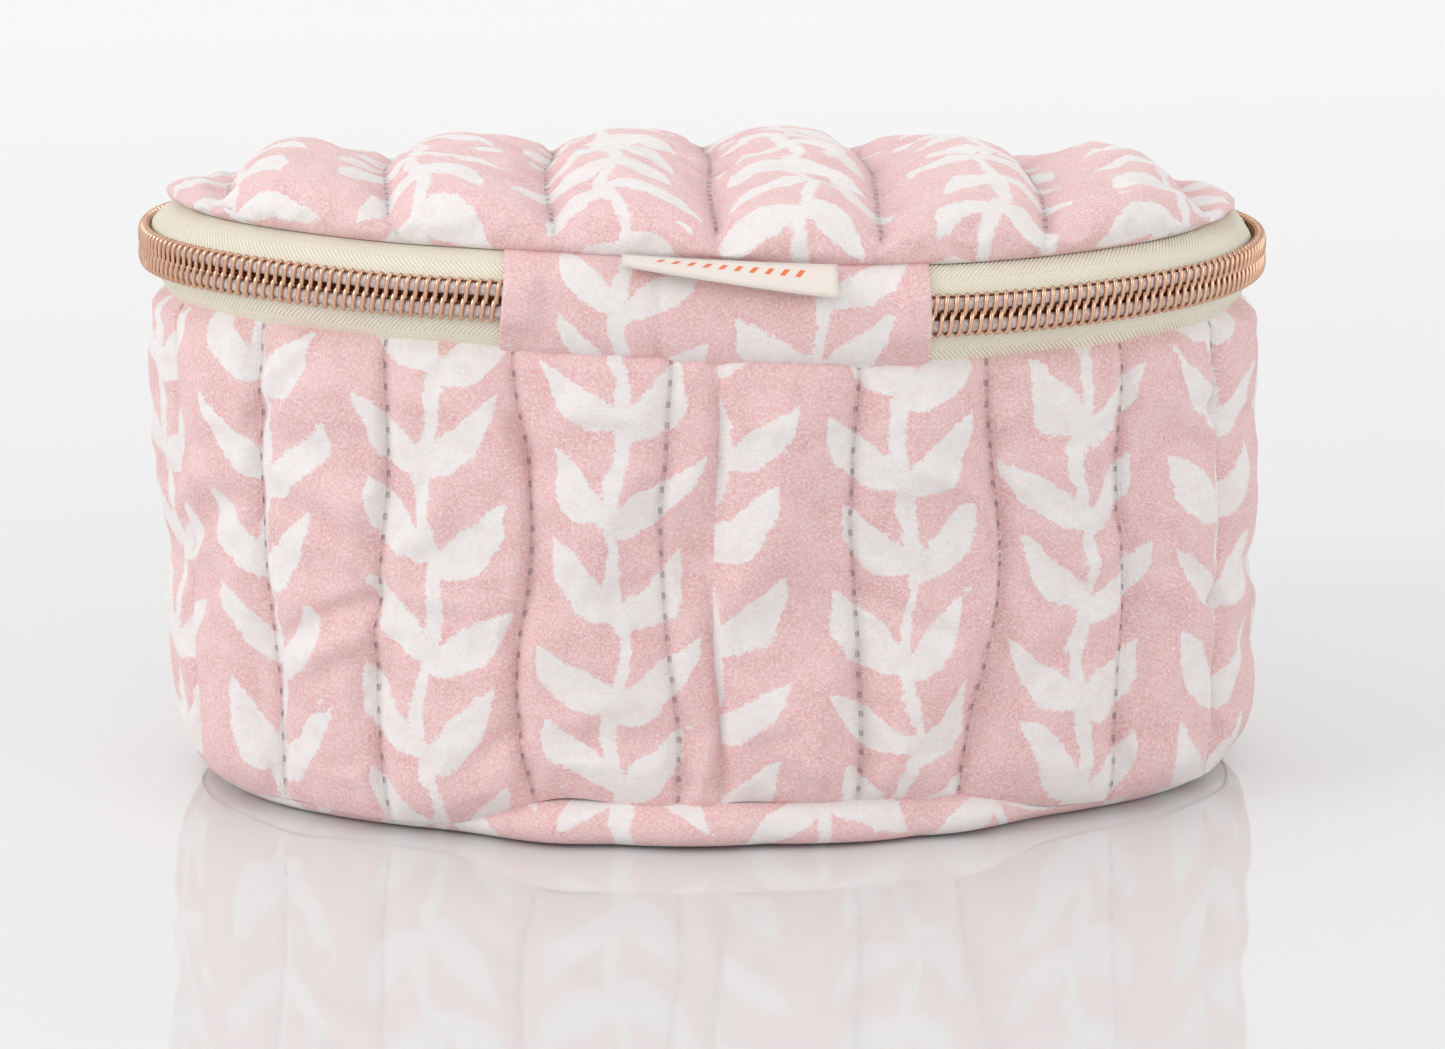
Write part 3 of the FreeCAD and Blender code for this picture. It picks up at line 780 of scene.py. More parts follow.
# start and end (round, up), width and depth, in millimetres, from the hinge side to the far side
creases = [
    ((-54, 38), (-72, 30), 2.0, 1.5), ((-72, 52), (-56, 46), 2.2, 0.9), ((-76, 62), (-64, 74), 1.5, 0.8),
    ((-98, 40), (-82, 50), 2.4, 1.2), ((-34, 70), (-28, 60), 1.6, 0.7), ((-30, 20), (-40, 12), 2.0, 0.7),
    ((20, 8), (21, 30), 1.8, 1.3), ((24, 40), (34, 33), 1.8, 0.6), ((44, 56), (36, 64), 1.8, 0.7),
    ((46, 22), (56, 30), 2.0, 0.8), ((66, 50), (58, 44), 1.8, 0.8), ((90, 30), (78, 40), 2.2, 1.1),
    ((92, 62), (80, 66), 1.7, 0.9), ((8, 12), (16, 7), 1.6, 0.6), ((116, 26), (104, 36), 2.4, 1.1),
    ((132, 60), (122, 50), 2.2, 0.9), ((158, 24), (170, 34), 2.2, 1.0), ((190, 52), (178, 60), 2.0, 0.8),
    ((214, 20), (204, 30), 2.2, 1.0), ((236, 44), (226, 52), 2.0, 0.8), ((258, 26), (248, 18), 2.0, 0.9),
    ((282, 58), (272, 48), 2.1, 0.9), ((306, 24), (318, 34), 2.2, 1.1), ((334, 48), (346, 56), 2.2, 1.0),
    ((352, 22), (342, 30), 2.0, 0.8),
]


def base_shows(length):
    """1 where the base's rolled edge shows below the wall, at the hinge side; 0 where the wall hides it."""
    from_middle = np.abs(np.mod(length - 6 * MM + girth / 2, girth) - girth / 2)
    return 1 - smooth_step(from_middle, 30 * MM, 52 * MM)


def hem_height(length):
    """How high the wall's lower edge is: it hangs lower where it hides the base."""
    shown = base_shows(length)
    wave = 0.7 * np.sin(length / (7.5 * MM)) + 0.5 * np.sin(length / (4.1 * MM) + 1)
    return foot_height + (shown * (1.7 + wave) - (1 - shown) * (2.6 - 0.4 * wave)) * MM


def wall_inset(length, height, across, width):
    """How far in the wall's face is: deep at a row or seam, proud between them, turned in at both edges."""
    plump = 2.5 * MM * np.minimum(1, width / (20 * MM)) * (4 * across * (1 - across)) ** 0.45
    from_hem = height - foot_height
    from_rim = rim_height - height
    hem = np.sqrt(np.clip(1 - (1 - np.clip(from_hem / (5 * MM), 0, 1)) ** 2, 0, 1))
    rim = np.sqrt(np.clip(1 - (1 - np.clip(from_rim / (3.2 * MM), 0, 1)) ** 2, 0, 1))
    edge = hem * rim
    full = 0.45 + 0.55 * np.minimum(smooth_step(from_rim, 0, 11 * MM), smooth_step(from_hem, 0, 8 * MM))
    uneven = 0.65 * MM * gentle_waves(length, height, 3, 36 * MM)
    folds = sum(crease(length, height, *fold) for fold in creases)
    drift = 3 * gentle_waves(length, height, 9, 30 * MM)
    puckers = 0.35 * MM * np.sin(length * 2 * np.pi / (5.3 * MM) + drift) * np.exp(-from_rim / (4.5 * MM))
    from_row = np.minimum(across, 1 - across) * width
    seam = np.mod(length - row_line(0, height) + girth / 2, girth) - girth / 2
    grooves = 0.75 * MM * np.exp(-(from_row / (0.8 * MM)) ** 2) + 0.9 * MM * np.exp(-(seam / (1.0 * MM)) ** 2)
    face = 0.75 * MM - (plump * full + uneven - folds + puckers - grooves) * edge
    return face + 1.7 * MM * (1 - rim) + 1.0 * MM * (1 - hem)


inset = wall_inset(L, H, S, channel_width)
drape = np.clip((24 * MM - (H - foot_height)) / (24 * MM), 0, 1) ** 1.5
hung = H + (hem_height(L) - foot_height) * drape
plan, _ = on_oval(L, inset)
wall_points = np.concatenate([plan, hung[..., None]], -1)
wall_cloth = grid_piece("wall_cloth", wall_points, np.stack([L, H], -1), closed=True)

on_row = share == 0
held = np.zeros(H.shape, bool)
held[:, on_row] = True
held[[0, 1, -2, -1], :] = True
relax_cloth(wall_cloth, np.flatnonzero(held.ravel()), growth=0.035, pressure=0.5, frames=14, cap=1.6 * MM)

# %% [markdown]
# The stitch rows need their own map, so that the needle's dents fall on them. It holds the distance from the
# nearest row and the height. The closing seam isn't stitched through the face, so it is left out.

# %% Add the map of the rows, and round the cloth
def add_row_map(piece, off, along):
    """The map that puts the needle's marks on the rows."""
    add_map(piece.data, "stitch_rows", np.stack([off.ravel(), along.ravel()], -1))


FAR_FROM_ROWS = 9 * MM
to_left = np.where(channel_of == 0, FAR_FROM_ROWS, (L - left_line))
to_right = np.where(channel_of == len(seams_and_rows) - 2, FAR_FROM_ROWS, (right_line - L))
add_row_map(wall_cloth, np.minimum(to_left, to_right), H)


def place_points(piece, change):
    """Moves every point of a piece by a function of all its points."""
    points = np.array([v.co for v in piece.data.vertices])
    piece.data.vertices.foreach_set("co", change(points).astype(np.float32).ravel())
    piece.data.update()


wall_face = np.array([v.co for v in wall_cloth.data.vertices]).reshape(wall_levels, len(columns), 3)
place_points(wall_cloth, settled)
finish_piece(wall_cloth, "bag", quilted_cotton, ("wall_outer", "wall_wadding"), levels=1)

# %% [markdown]
# ## Stitches
#
# Each stitch is a short length of thread that comes up through the cloth, lies on it and goes down again. One
# stitch is a small bent tube. We take points along the settled cloth's row, lift the middle of each stitch
# just clear of it, and sink both its ends.

# %% Sew along a line
def tube(path, radius, sides=6, flat=1.0, normals=None):
    """Points, faces and cloth places of a tube along a path.

    Flat is its thickness along the normals over its width.
    """
    path = np.asarray(path, float)
    ways = np.gradient(path, axis=0)
    ways /= np.linalg.norm(ways, axis=1, keepdims=True)
    if normals is None:
        normals = np.tile([0.0, 0.0, 1.0], (len(path), 1))
    across = np.cross(ways, normals)
    across /= np.linalg.norm(across, axis=1, keepdims=True)
    lift = np.cross(across, ways)
    turns = np.arange(sides) * 2 * np.pi / sides
    radius = np.broadcast_to(radius, (len(path),))
    sideways = np.cos(turns)[None, :, None] * across[:, None]
    upwards = flat * np.sin(turns)[None, :, None] * lift[:, None]
    rings = path[:, None] + radius[:, None, None] * (sideways + upwards)
    faces = grid_faces(len(path), sides, closed=True)
    faces += [tuple(range(sides))[::-1], tuple(range((len(path) - 1) * sides, len(path) * sides))]
    travel = np.concatenate([[0], np.cumsum(np.linalg.norm(np.diff(path, axis=0), axis=1))])
    place = np.stack([np.broadcast_to(travel[:, None], (len(path), sides)),
                      np.broadcast_to(turns * float(radius.mean()), (len(path), sides))], -1)
    return rings.reshape(-1, 3), faces, place.reshape(-1, 2)


def joined(name, bits):
    """One piece from many (points, faces, cloth places)."""
    points, faces, places, count = [], [], [], 0
    for p, f, c in bits:
        points.append(p)
        places.append(c)
        faces += [tuple(i + count for i in face) for face in f]
        count += len(p)
    return piece_from(name, np.concatenate(points), faces, np.concatenate(places))


def stitches_along(line, normals, length=3.5 * MM, thread=0.16 * MM, cover=0.74):
    """Stitches on a line of surface points that are close together."""
    travel = np.concatenate([[0], np.cumsum(np.linalg.norm(np.diff(line, axis=0), axis=1))])
    bits, start = [], 0.8 * MM
    while start + length * cover < travel[-1] - 0.8 * MM:
        steps = np.linspace(start, start + length * cover, 7)
        path = np.stack([np.interp(steps, travel, line[:, k]) for k in range(3)], -1)
        up = np.stack([np.interp(steps, travel, normals[:, k]) for k in range(3)], -1)
        up /= np.linalg.norm(up, axis=1, keepdims=True)
        rise = np.array([-0.30, 0.02, 0.12, 0.15, 0.12, 0.02, -0.30]) * MM
        bits.append(tube(path + up * rise[:, None], thread, 5, 0.8, up))
        start += length
    return bits


def loose_loop(length, height, size, turn):
    """A loose loop of thread that stands off the wall."""
    place, way = on_oval(np.array([length * MM]), -1.6 * MM)
    centre = np.array([place[0, 0], place[0, 1], height * MM])
    outward = np.array([way[0, 0], way[0, 1], 0.0])
    sideways = np.array([-way[0, 1], way[0, 0], 0.0])
    upward = np.array([0.0, 0.0, 1.0])
    t = np.linspace(-0.3, 2 * np.pi - 0.9, 15)
    across, up = np.cos(t + turn) * size * MM, np.sin(t + turn) * size * 1.3 * MM
    stand_off = 0.5 * np.sin(t / 2) * size * MM
    path = centre + across[:, None] * sideways + up[:, None] * upward + stand_off[:, None] * outward
    return tube(settled(path), 0.13 * MM, 5)


row_columns = np.flatnonzero(on_row)[1:]
# round, up, size and turn of each loop
bits = [loose_loop(44.6, 66, 0.75, 0.4), loose_loop(44.0, 49, 0.55, 2.0), loose_loop(44.4, 45.6, 0.6, 4.2),
        loose_loop(204, 40, 0.7, 1.2), loose_loop(318, 58, 0.6, 3.3)]
for column in row_columns:
    line = wall_face[1:-1, column]
    _, way = on_oval(L[1:-1, column], 0.0)
    bits += stitches_along(settled(line), np.concatenate([way, np.zeros((len(way), 1))], -1))
wall_stitches = joined("wall_stitches", bits)
finish_piece(wall_stitches, "bag", pale_thread, ("wall_quilting_thread",))
print(len(bits), "stitches in the wall")

# %% [markdown]
# ## The base
#
# The base is a padded oval sewn to the foot of the wall. Under the bag's weight it lies flat in the middle,
# and its edge rolls up in soft lumps to the seam. Rings of points follow the oval inwards from the seam, and
# the middle is closed with a level sheet.

# %% Shape the base
def run_along(section):
    """How far along a section each of its points is."""
    return np.concatenate([[0], np.cumsum(np.hypot(*np.diff(section, axis=0).T))])


def ring_of(lengths, inset, height):
    """A ring of points round the oval."""
    plan, _ = on_oval(lengths, inset)
    return np.concatenate([plan, np.broadcast_to(height, lengths.shape)[..., None]], -1)


def closed_sheet(name, rings, cloth_places, flip=False):
    """A sheet from rings of points, closed in the middle with a strip of quads along its long axis."""
    rows, columns = rings.shape[:2]
    faces = grid_faces(rows, columns, closed=True)
    last = (rows - 1) * columns
    half = columns // 2
    for step in range(half - 1):
        across = columns - 1 - step
        faces.append((last + step, last + step + 1, last + across - 1, last + across))
    return piece_from(name, rings, [f[::-1] for f in faces] if flip else faces, cloth_places)


around = np.arange(300) / 300 * girth
lumps = gentle_waves(around, np.zeros_like(around), 8, 34 * MM)
base_x = on_oval(around, 0.0)[0][:, 0]
rib = np.abs(np.sin(np.pi * (base_x - 8 * MM) / (24 * MM))) ** 0.6
shown = base_shows(around)
# inset, height, and how much of the lumps each ring takes
base_profile = np.array([(2.6, 7.6, 0), (1.2, 7.0, 0.2), (-0.3, 5.9, 0.7), (-1.1, 4.3, 1.0), (-1.2, 2.8, 1.0),
                         (-0.5, 1.4, 0.9), (1.3, 0.45, 0.6), (4.5, 0.1, 0.2), (10, 0.1, 0), (18, 0.15, 0),
                         (26, 0.2, 0), (36, 0.2, 0)])
rings, places = [], []
for (depth, height, lump), run in zip(base_profile, run_along(base_profile[:, :2])):
    swell = lump * (0.7 * lumps + 1.9 * (rib - 0.6)) * MM
    tucked = (1 - shown) * 3.4 * MM * min(1, max(0, (8 - depth) / 6))
    sag = (1 - shown) * 3.2 * max(0, (height - 2) / 5.6)
    low = height - sag + 0.5 * lump * lumps * shown * min(1, height)
    ring = ring_of(around, depth * MM - swell * shown + tucked, low * MM)
    flat_place, _ = on_oval(around, (run - 9) * MM)
    rings.append(ring)
    places.append(flat_place)
base_cloth = closed_sheet("base_cloth", np.array(rings), np.array(places) + 0.4, flip=True)
place_points(base_cloth, settled)
finish_piece(base_cloth, "bag", panel_cotton, ("base_outer", "base_wadding"), levels=1)

# %% [markdown]
# ## The lid
#
# The lid is a quilted oval, lightly domed. Its rows run from front to back, so its mesh is a set of points on
# and between those rows, and rings of points round the edge where the cloth turns down to the seam. A
# triangulation joins them, which keeps the rows as clean edges.

# %% Lay out the lid's points
seam_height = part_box("lid_outer")[0][2]
crown_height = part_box("lid_outer")[1][2]
lid_row_spacing = 25.6 * MM
lid_rows = 1.0 * MM + lid_row_spacing * np.arange(-3, 4)
# inset and height above the seam, in millimetres, from the seam to the crown
lid_curve = np.array([(4.3, -0.2), (3.3, 0.5), (2.7, 1.6), (2.8, 2.9), (3.5, 4.2), (4.8, 5.5), (6.8, 6.7),
                      (9.8, 7.6), (14, 8.3), (20, 8.9), (30, 9.4), (60, 9.5)])
curve_run = run_along(lid_curve)


def inset_of(points):
    """How far inside the wall's outline each plan point is."""
    x, y = np.abs(points[:, 0]), np.abs(points[:, 1])
    end = end_radius - np.hypot(x - end_centre, y)
    side = side_radius - np.hypot(x, y + side_centre)
    on_end = np.arctan2(y, x - end_centre) < tangent
    return np.where(on_end & (x > end_centre), end, side)


def row_bend(x, y):
    """The lid's rows wander a little from front to back."""
    return 0.8 * MM * np.sin(y / (21 * MM) + x / (30 * MM))


# the edge's turned-down part is laid out on plan as if pressed flat: ring 0 is the seam
edge_steps = np.array([0.0, 1.3, 2.6, 3.9, 5.3, 6.8, 8.4]) * MM
flat_start = -3.2 * MM
edge_count = 290
points, edges = [], []
for step in edge_steps:
    plan, _ = on_oval(np.arange(edge_count) / edge_count * girth, flat_start + step)
    first = len(points)
    points += [tuple(p) for p in plan]
    edges += [(first + i, first + (i + 1) % edge_count) for i in range(edge_count)]
inner_inset = flat_start + edge_steps[-1] + 1.3 * MM
spacing = 1.75 * MM
across_count = 14
channels = np.concatenate([[lid_rows[0] - lid_row_spacing], lid_rows, [lid_rows[-1] + lid_row_spacing]])
for channel in range(len(channels) - 1):
    for step in range(across_count):
        x0 = channels[channel] + (channels[channel + 1] - channels[channel]) * step / across_count
        ys = np.arange(-0.062, 0.062, spacing) + (spacing / 2 if step % 2 else 0)
        column = np.stack([x0 + row_bend(x0, ys), ys], -1)
        column = column[inset_of(column) > inner_inset]
        first = len(points)
        points += [tuple(p) for p in column]
        if step == 0:
            edges += [(first + i, first + i + 1) for i in range(len(column) - 1)]
made = geometry.delaunay_2d_cdt([Vector(p) for p in points], edges, [list(range(edge_count))], 1, 1e-6)
lid_plan = np.array([tuple(p) for p in made[0]])
lid_faces = [tuple(f) for f in made[2]]
print("lid layout:", len(lid_plan), "points,", len(lid_faces), "triangles")

# %% [markdown]
# The layout is flat, as the cut cloth is. Now it is bent over the dome: a point's distance from the cut edge
# is measured along the dome's section, and that says where it goes on plan and how high. Between two rows
# the cloth stands up, and on a row it is pulled down.

# %% Bend the lid over its dome and let it settle
def nearest_row(x, y):
    """Signed distance to the nearest row, and how far across its channel a point is."""
    bent = x - row_bend(x, y)
    position = (bent - lid_rows[0]) / lid_row_spacing
    across = position - np.floor(position)
    whole = np.round(position)
    off = (position - whole) * lid_row_spacing
    real = (whole >= 0) & (whole <= len(lid_rows) - 1)
    return np.where(real, off, FAR_FROM_ROWS), across


def lid_slump(x, y):
    """How far, in millimetres, the lid has sunk: towards the opening side, to the right and at its ends."""
    back = 3.4 * smooth_step(y, -15 * MM, 42 * MM)
    return back + 0.9 * smooth_step(x, 0, 80 * MM) + 2.6 * smooth_step(np.abs(x), 66 * MM, 80 * MM)


def way_out(flat_points):
    """The way straight out to the lid's edge from each plan point."""
    x, y = flat_points.T
    from_end = np.stack([x - np.sign(x) * np.minimum(np.abs(x), end_centre), y], -1)
    from_side = np.stack([x, y + np.sign(y) * side_centre], -1)
    on_end = (np.abs(x) > end_centre) & (np.arctan2(np.abs(y), np.abs(x) - end_centre) < tangent)
    way = np.where(on_end[:, None], from_end, from_side)
    return way / np.maximum(np.linalg.norm(way, axis=1, keepdims=True), TINY)


def dome(flat_points, puff):
    """Bends flat layout points over the lid's dome."""
    inset = inset_of(flat_points)
    run = (inset - flat_start) / MM
    new_inset = np.interp(run, curve_run, lid_curve[:, 0]) * MM
    height = np.interp(run, curve_run, lid_curve[:, 1])
    x, y = flat_points.T
    way = way_out(flat_points)
    plan = flat_points - way * (new_inset - inset)[:, None]
    off, across = nearest_row(x, y)
    lift = (4 * across * (1 - across)) ** 0.5
    from_seam = np.clip(run / 9, 0, 1)
    swell = puff * (lift - 0.72) * smooth_step(from_seam, 0.1, 1)
    steep = np.clip((7 - run) / 7, 0, 1)
    rise = height * (crown_height - seam_height) / MM / lid_curve[-1, 1]
    z = seam_height / MM + rise + swell * (1 - 0.6 * steep) - lid_slump(x, y) * np.clip(rise / 7, 0, 1)
    plan = plan + way * (swell * steep * 0.8 * MM)[:, None]
    uneven = 0.40 * gentle_waves(x, y, 12, 30 * MM) * smooth_step(from_seam, 0.2, 1)
    return np.concatenate([plan, ((z + uneven) * MM)[:, None]], -1), off, run


lid_points, row_off, lid_run = dome(lid_plan, 4.4)
lid_cloth = piece_from("lid_cloth", lid_points, lid_faces, lid_plan * (1, -1) + (223.6 * MM, 0.2))
held = (np.abs(row_off) < 0.25 * MM) | (lid_run < 1.4)
relax_cloth(lid_cloth, np.flatnonzero(held), growth=0.035, pressure=0.5, frames=14, cap=1.4 * MM)
add_row_map(lid_cloth, np.abs(row_off), lid_plan[:, 1].copy())
lid_face = np.array([v.co for v in lid_cloth.data.vertices])
place_points(lid_cloth, settled)
finish_piece(lid_cloth, "lid", quilted_cotton, ("lid_outer", "lid_wadding"), levels=1)

# %% Sew the lid's rows
bits = []
for row in lid_rows:
    on_this = np.flatnonzero((np.abs(lid_plan[:, 0] - row - row_bend(row, lid_plan[:, 1])) < 0.3 * MM)
                             & (lid_run > 3))
    order = on_this[np.argsort(lid_plan[on_this, 1])]
    line = settled(lid_face[order])
    ups = np.cross(np.array([1.0, 0, 0]), np.gradient(line, axis=0))
    bits += stitches_along(line, ups / np.linalg.norm(ups, axis=1, keepdims=True))
lid_stitches = joined("lid_stitches", bits)
finish_piece(lid_stitches, "lid", pale_thread, ("lid_quilting_thread",))
print(len(bits), "stitches in the lid")

# %% [markdown]
# ## The zip
#
# A coil zip is two nylon spirals, one sewn along the edge of each tape. Their turns slot between each other.
# Each spiral here is a real one: a round wire that goes round a flattened loop once in each pitch. A pale
# cord runs through the loops and holds them to the tape.

# %% Where the zip runs
panel_half = 33.25 * MM
chain_height = 85.0 * MM
coil_pitch, coil_stand_off = 1.6 * MM, 1.72 * MM
chain_start, chain_end = panel_half - 2.2 * MM, girth - panel_half + 2.2 * MM


def across_panel(height):
    """A share by height for the hinge panel's cloth: 0 at the wall's seam, 1 at the lid's."""
    return smooth_step(height, 79 * MM, 91 * MM)


def near_panel(length):
    """1 at the hinge panel's edge, fading to 0 along the zip."""
    from_edge = np.minimum(np.mod(length, girth), girth - np.mod(length, girth)) - panel_half
    return 1 - smooth_step(from_edge, -2 * MM, 26 * MM)


def bend_with_lid(piece):
    """Bakes the piece's transform into its mesh."""
    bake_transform(piece)


def plan_length(points):
    """How far round the wall each point is."""
    x, y = points[:, 0], points[:, 1]
    ax, ay = np.abs(x), np.abs(y)
    end_angle = np.arctan2(ay, ax - end_centre)
    side_angle = np.arctan2(ax, ay + side_centre)
    on_side = side_angle < side_sweep
    quarter = np.where(on_side, side_angle * side_radius,
                       side_sweep * side_radius + (tangent - end_angle) * end_radius)
    quarter = np.clip(quarter, 0, girth / 4)
    return np.select([(x >= 0) & (y < 0), (x >= 0) & (y >= 0), (x < 0) & (y >= 0)],
                     [quarter, girth / 2 - quarter, girth / 2 + quarter], girth - quarter)


def lower_weights(points):
    return across_panel(points[:, 2]) * near_panel(plan_length(points))


def upper_weights(points):
    shared = across_panel(points[:, 2])
    fade = near_panel(plan_length(points))
    return shared * fade + (1 - fade)


# %% Weave the two tapes
def thicken(piece, thickness, offset):
    """Gives a sheet its thickness, on one side or the other."""
    modifier = piece.modifiers.new("thick", "SOLIDIFY")
    modifier.thickness = thickness
    modifier.offset = offset
    apply_modifiers(piece)


def tape_sheet(name, section, seed):
    """A strip of tape along the zip, from section points of inset and height in millimetres."""
    lengths = np.arange(chain_start, chain_end, 1.3 * MM)
    section = np.array(section)
    run = run_along(section) * MM
    ripple = gentle_waves(lengths, np.zeros_like(lengths), seed, 22 * MM)
    ripple *= smooth_step(np.abs(lengths - girth / 2), 82 * MM, 105 * MM)
    points = []
    for k, (inset, height) in enumerate(section):
        loose = math.sin(math.pi * k / (len(section) - 1)) ** 2
        plan, _ = on_oval(lengths, inset * MM - ripple * loose * 0.35 * MM)
        rise = height * MM + ripple * loose * 0.2 * MM
        points.append(np.concatenate([plan, rise[:, None]], -1))
    points = np.array(points)
    sheet = grid_piece(name, points, np.stack(np.meshgrid(lengths, run), -1))
    thicken(sheet, 0.55 * MM, -1 if name.startswith("lower") else 1)
    return sheet


lower_section = [(3.0, 75.5), (2.4, 76.6), (1.7, 77.6), (1.0, 78.8), (0.4, 80.0), (-0.15, 81.2), (-0.5, 82.4),
                 (-0.62, 83.6), (-0.62, 84.7)]
upper_section = [(5.4, 92.0), (4.4, 91.7), (3.3, 91.2), (2.0, 90.3), (0.8, 89.3), (-0.1, 88.3), (-0.5, 87.2),
                 (-0.62, 86.0), (-0.62, 85.3)]
lower_tape = tape_sheet("lower_tape", lower_section, 21)
upper_tape = tape_sheet("upper_tape", upper_section, 22)

# %% Wind the coils
def coil_points(side):
    """The middle line of one spiral, and its wire's radius, which swells where the two spirals meet."""
    per_turn = 16
    turns = int((chain_end - chain_start) / coil_pitch)
    step = np.arange(turns * per_turn + 1)
    angle = 2 * np.pi * step / per_turn
    length = chain_start + coil_pitch * step / per_turn + (coil_pitch / 2 if side > 0 else 0)
    thick = np.sign(np.cos(angle)) * np.abs(np.cos(angle)) ** 0.75
    wide = np.sign(np.sin(angle)) * np.abs(np.sin(angle)) ** 0.85
    inset = -coil_stand_off - 0.66 * MM * thick
    height = chain_height + side * (1.42 * MM) + 1.62 * MM * wide
    plan, _ = on_oval(length, inset)
    radius = 0.39 * MM + 0.12 * MM * np.clip(-side * np.sin(angle), 0, 1) ** 6
    return np.concatenate([plan, height[:, None]], -1), radius


def cord_path(side):
    lengths = np.arange(chain_start, chain_end, 1.5 * MM)
    plan, _ = on_oval(lengths, -coil_stand_off)
    return np.concatenate([plan, np.full((len(lengths), 1), chain_height + side * 1.68 * MM)], -1)


def shaded_chain_bed(name, side):
    """The bed of sewing thread and plated coil backs that one spiral lies on, painted dark brown as shade."""
    lengths = np.arange(chain_start, chain_end, 0.8 * MM)
    section = ((-0.75, 2.85), (-0.95, 2.6), (-1.02, 1.6), (-1.1, 0.7), (-1.02, 0.02), (-0.75, -0.02))
    rows = []
    for inset, rise in section:
        ribs = 0.10 * MM * np.sin(lengths * 2 * np.pi / coil_pitch + (math.pi if side > 0 else 0))
        plan, _ = on_oval(lengths, inset * MM + ribs)
        rows.append(np.concatenate([plan, np.full((len(lengths), 1), chain_height + side * rise * MM)], -1))
    rows = np.array(rows)
    place = np.stack([np.broadcast_to(lengths, rows.shape[:2]), rows[..., 2]], -1)
    return grid_piece(name, rows, place, flip=side < 0)


for level, side, tape, weights in (("lower", -1, lower_tape, lower_weights),
                                   ("upper", 1, upper_tape, upper_weights)):
    coil = joined(f"{level}_coil", [tube(*coil_points(side), 8)])
    cord = joined(f"{level}_cord", [tube(cord_path(side), 0.50 * MM, 10, flat=1.9)])
    # The bed is painted dark brown as the shade between the coil's loops.
    bed = shaded_chain_bed(f"{level}_coil_bed_painted_shade", side)
    dressings = ((tape, zip_tape, "zip_tape", (f"{level}_zip_tape",)),
                 (coil, coil_gold, "zip_coil", (f"{level}_zip_coil",)),
                 (bed, coil_shade, "zip_coil", ()),
                 (cord, filler_cord, "zip_tape", ()))
    for piece, material, slot, nodes in dressings:
        rest = np.array([v.co for v in piece.data.vertices])
        share_of_lid = weights(rest)
        place_points(piece, settled)
        finish_piece(piece, None, material, nodes)
        bend_with_lid(piece)
    "wall_cloth" if level == "lower" else "lid_cloth"

# %% [markdown]
# ## The hinge panel
#
# A short padded strip of the same print closes the gap in the zip. It is the hinge: it folds when the lid
# opens. It is a small pillow, so it is made as a front sheet and a back sheet that share their edges, and it
# stands over the ends of the zip, which are caught under it.

# %% Make the hinge panel
def face_outwards(piece, weld=0.0):
    """Turns the faces of a closed piece outwards, after welding points that are nearer than weld."""
    shape = bmesh.new()
    shape.from_mesh(piece.data)
    if weld:
        bmesh.ops.remove_doubles(shape, verts=shape.verts, dist=weld)
    bmesh.ops.recalc_face_normals(shape, faces=shape.faces)
    shape.to_mesh(piece.data)
    shape.free()


def pillow(name, front, back, place):
    """A closed form from two grids of the same size, joined round their edges."""
    rows, columns = front.shape[:2]
    size = rows * columns
    faces = [f[::-1] for f in grid_faces(rows, columns)]
    faces += [tuple(i + size for i in f[::-1]) for f in faces]
    rim = list(range(columns)) + [r * columns + columns - 1 for r in range(1, rows)]
    rim += [(rows - 1) * columns + c for c in range(columns - 2, -1, -1)]
    rim += [r * columns for r in range(rows - 2, 0, -1)]
    for a, b in zip(rim, rim[1:] + rim[:1]):
        faces.append((a, b, b + size, a + size))
    points = np.concatenate([front.reshape(-1, 3), back.reshape(-1, 3)])
    piece = piece_from(name, points, faces, np.concatenate([place.reshape(-1, 2)] * 2))
    face_outwards(piece)
    return piece


panel_lengths = np.linspace(-panel_half - 0.2 * MM, panel_half + 0.2 * MM, 92)
panel_section = np.array([(2.0, 76.2), (1.3, 76.9), (0.5, 77.6), (-0.3, 78.6), (-1.0, 80.0), (-1.3, 81.6),
                          (-1.45, 83.6), (-1.4, 85.6), (-1.15, 87.3), (-0.4, 88.9), (0.8, 90.3), (2.1, 91.3),
                          (3.4, 92.0), (4.8, 92.3)])
panel_run = run_along(panel_section) * MM


def panel_sheet(extra, bulge):
    """One face of the panel: it swells over the ends of the coils, and dips at its two rows of stitches."""
    points = []
    at_edge = smooth_step(np.abs(panel_lengths), 25.5 * MM, 30 * MM)
    grooves = sum(np.exp(-((panel_lengths - row) / (0.9 * MM)) ** 2) for row in (-8.5 * MM, 17 * MM))
    for inset, height in panel_section:
        over_coil = smooth_step(height, 79.9, 81.5) * (1 - smooth_step(height, 88.6, 90.4))
        uneven = 0.30 * gentle_waves(panel_lengths, np.full_like(panel_lengths, height * MM), 31, 24 * MM)
        puckers = 0.18 * np.sin(panel_lengths / (1.1 * MM)) * math.exp(-(height - 77) / 3)
        depth = inset + extra - bulge * (2.2 * at_edge * over_coil + uneven - 0.45 * grooves + puckers)
        upright = panel_lengths * side_radius / (side_radius - depth * MM)
        leaning = 1 - 0.03 * smooth_step(-panel_lengths, 10 * MM, panel_half) * smooth_step(height, 77, 92)
        plan, _ = on_oval(upright * leaning, depth * MM)
        points.append(np.concatenate([plan, np.full((len(plan), 1), height * MM)], -1))
    return np.array(points)


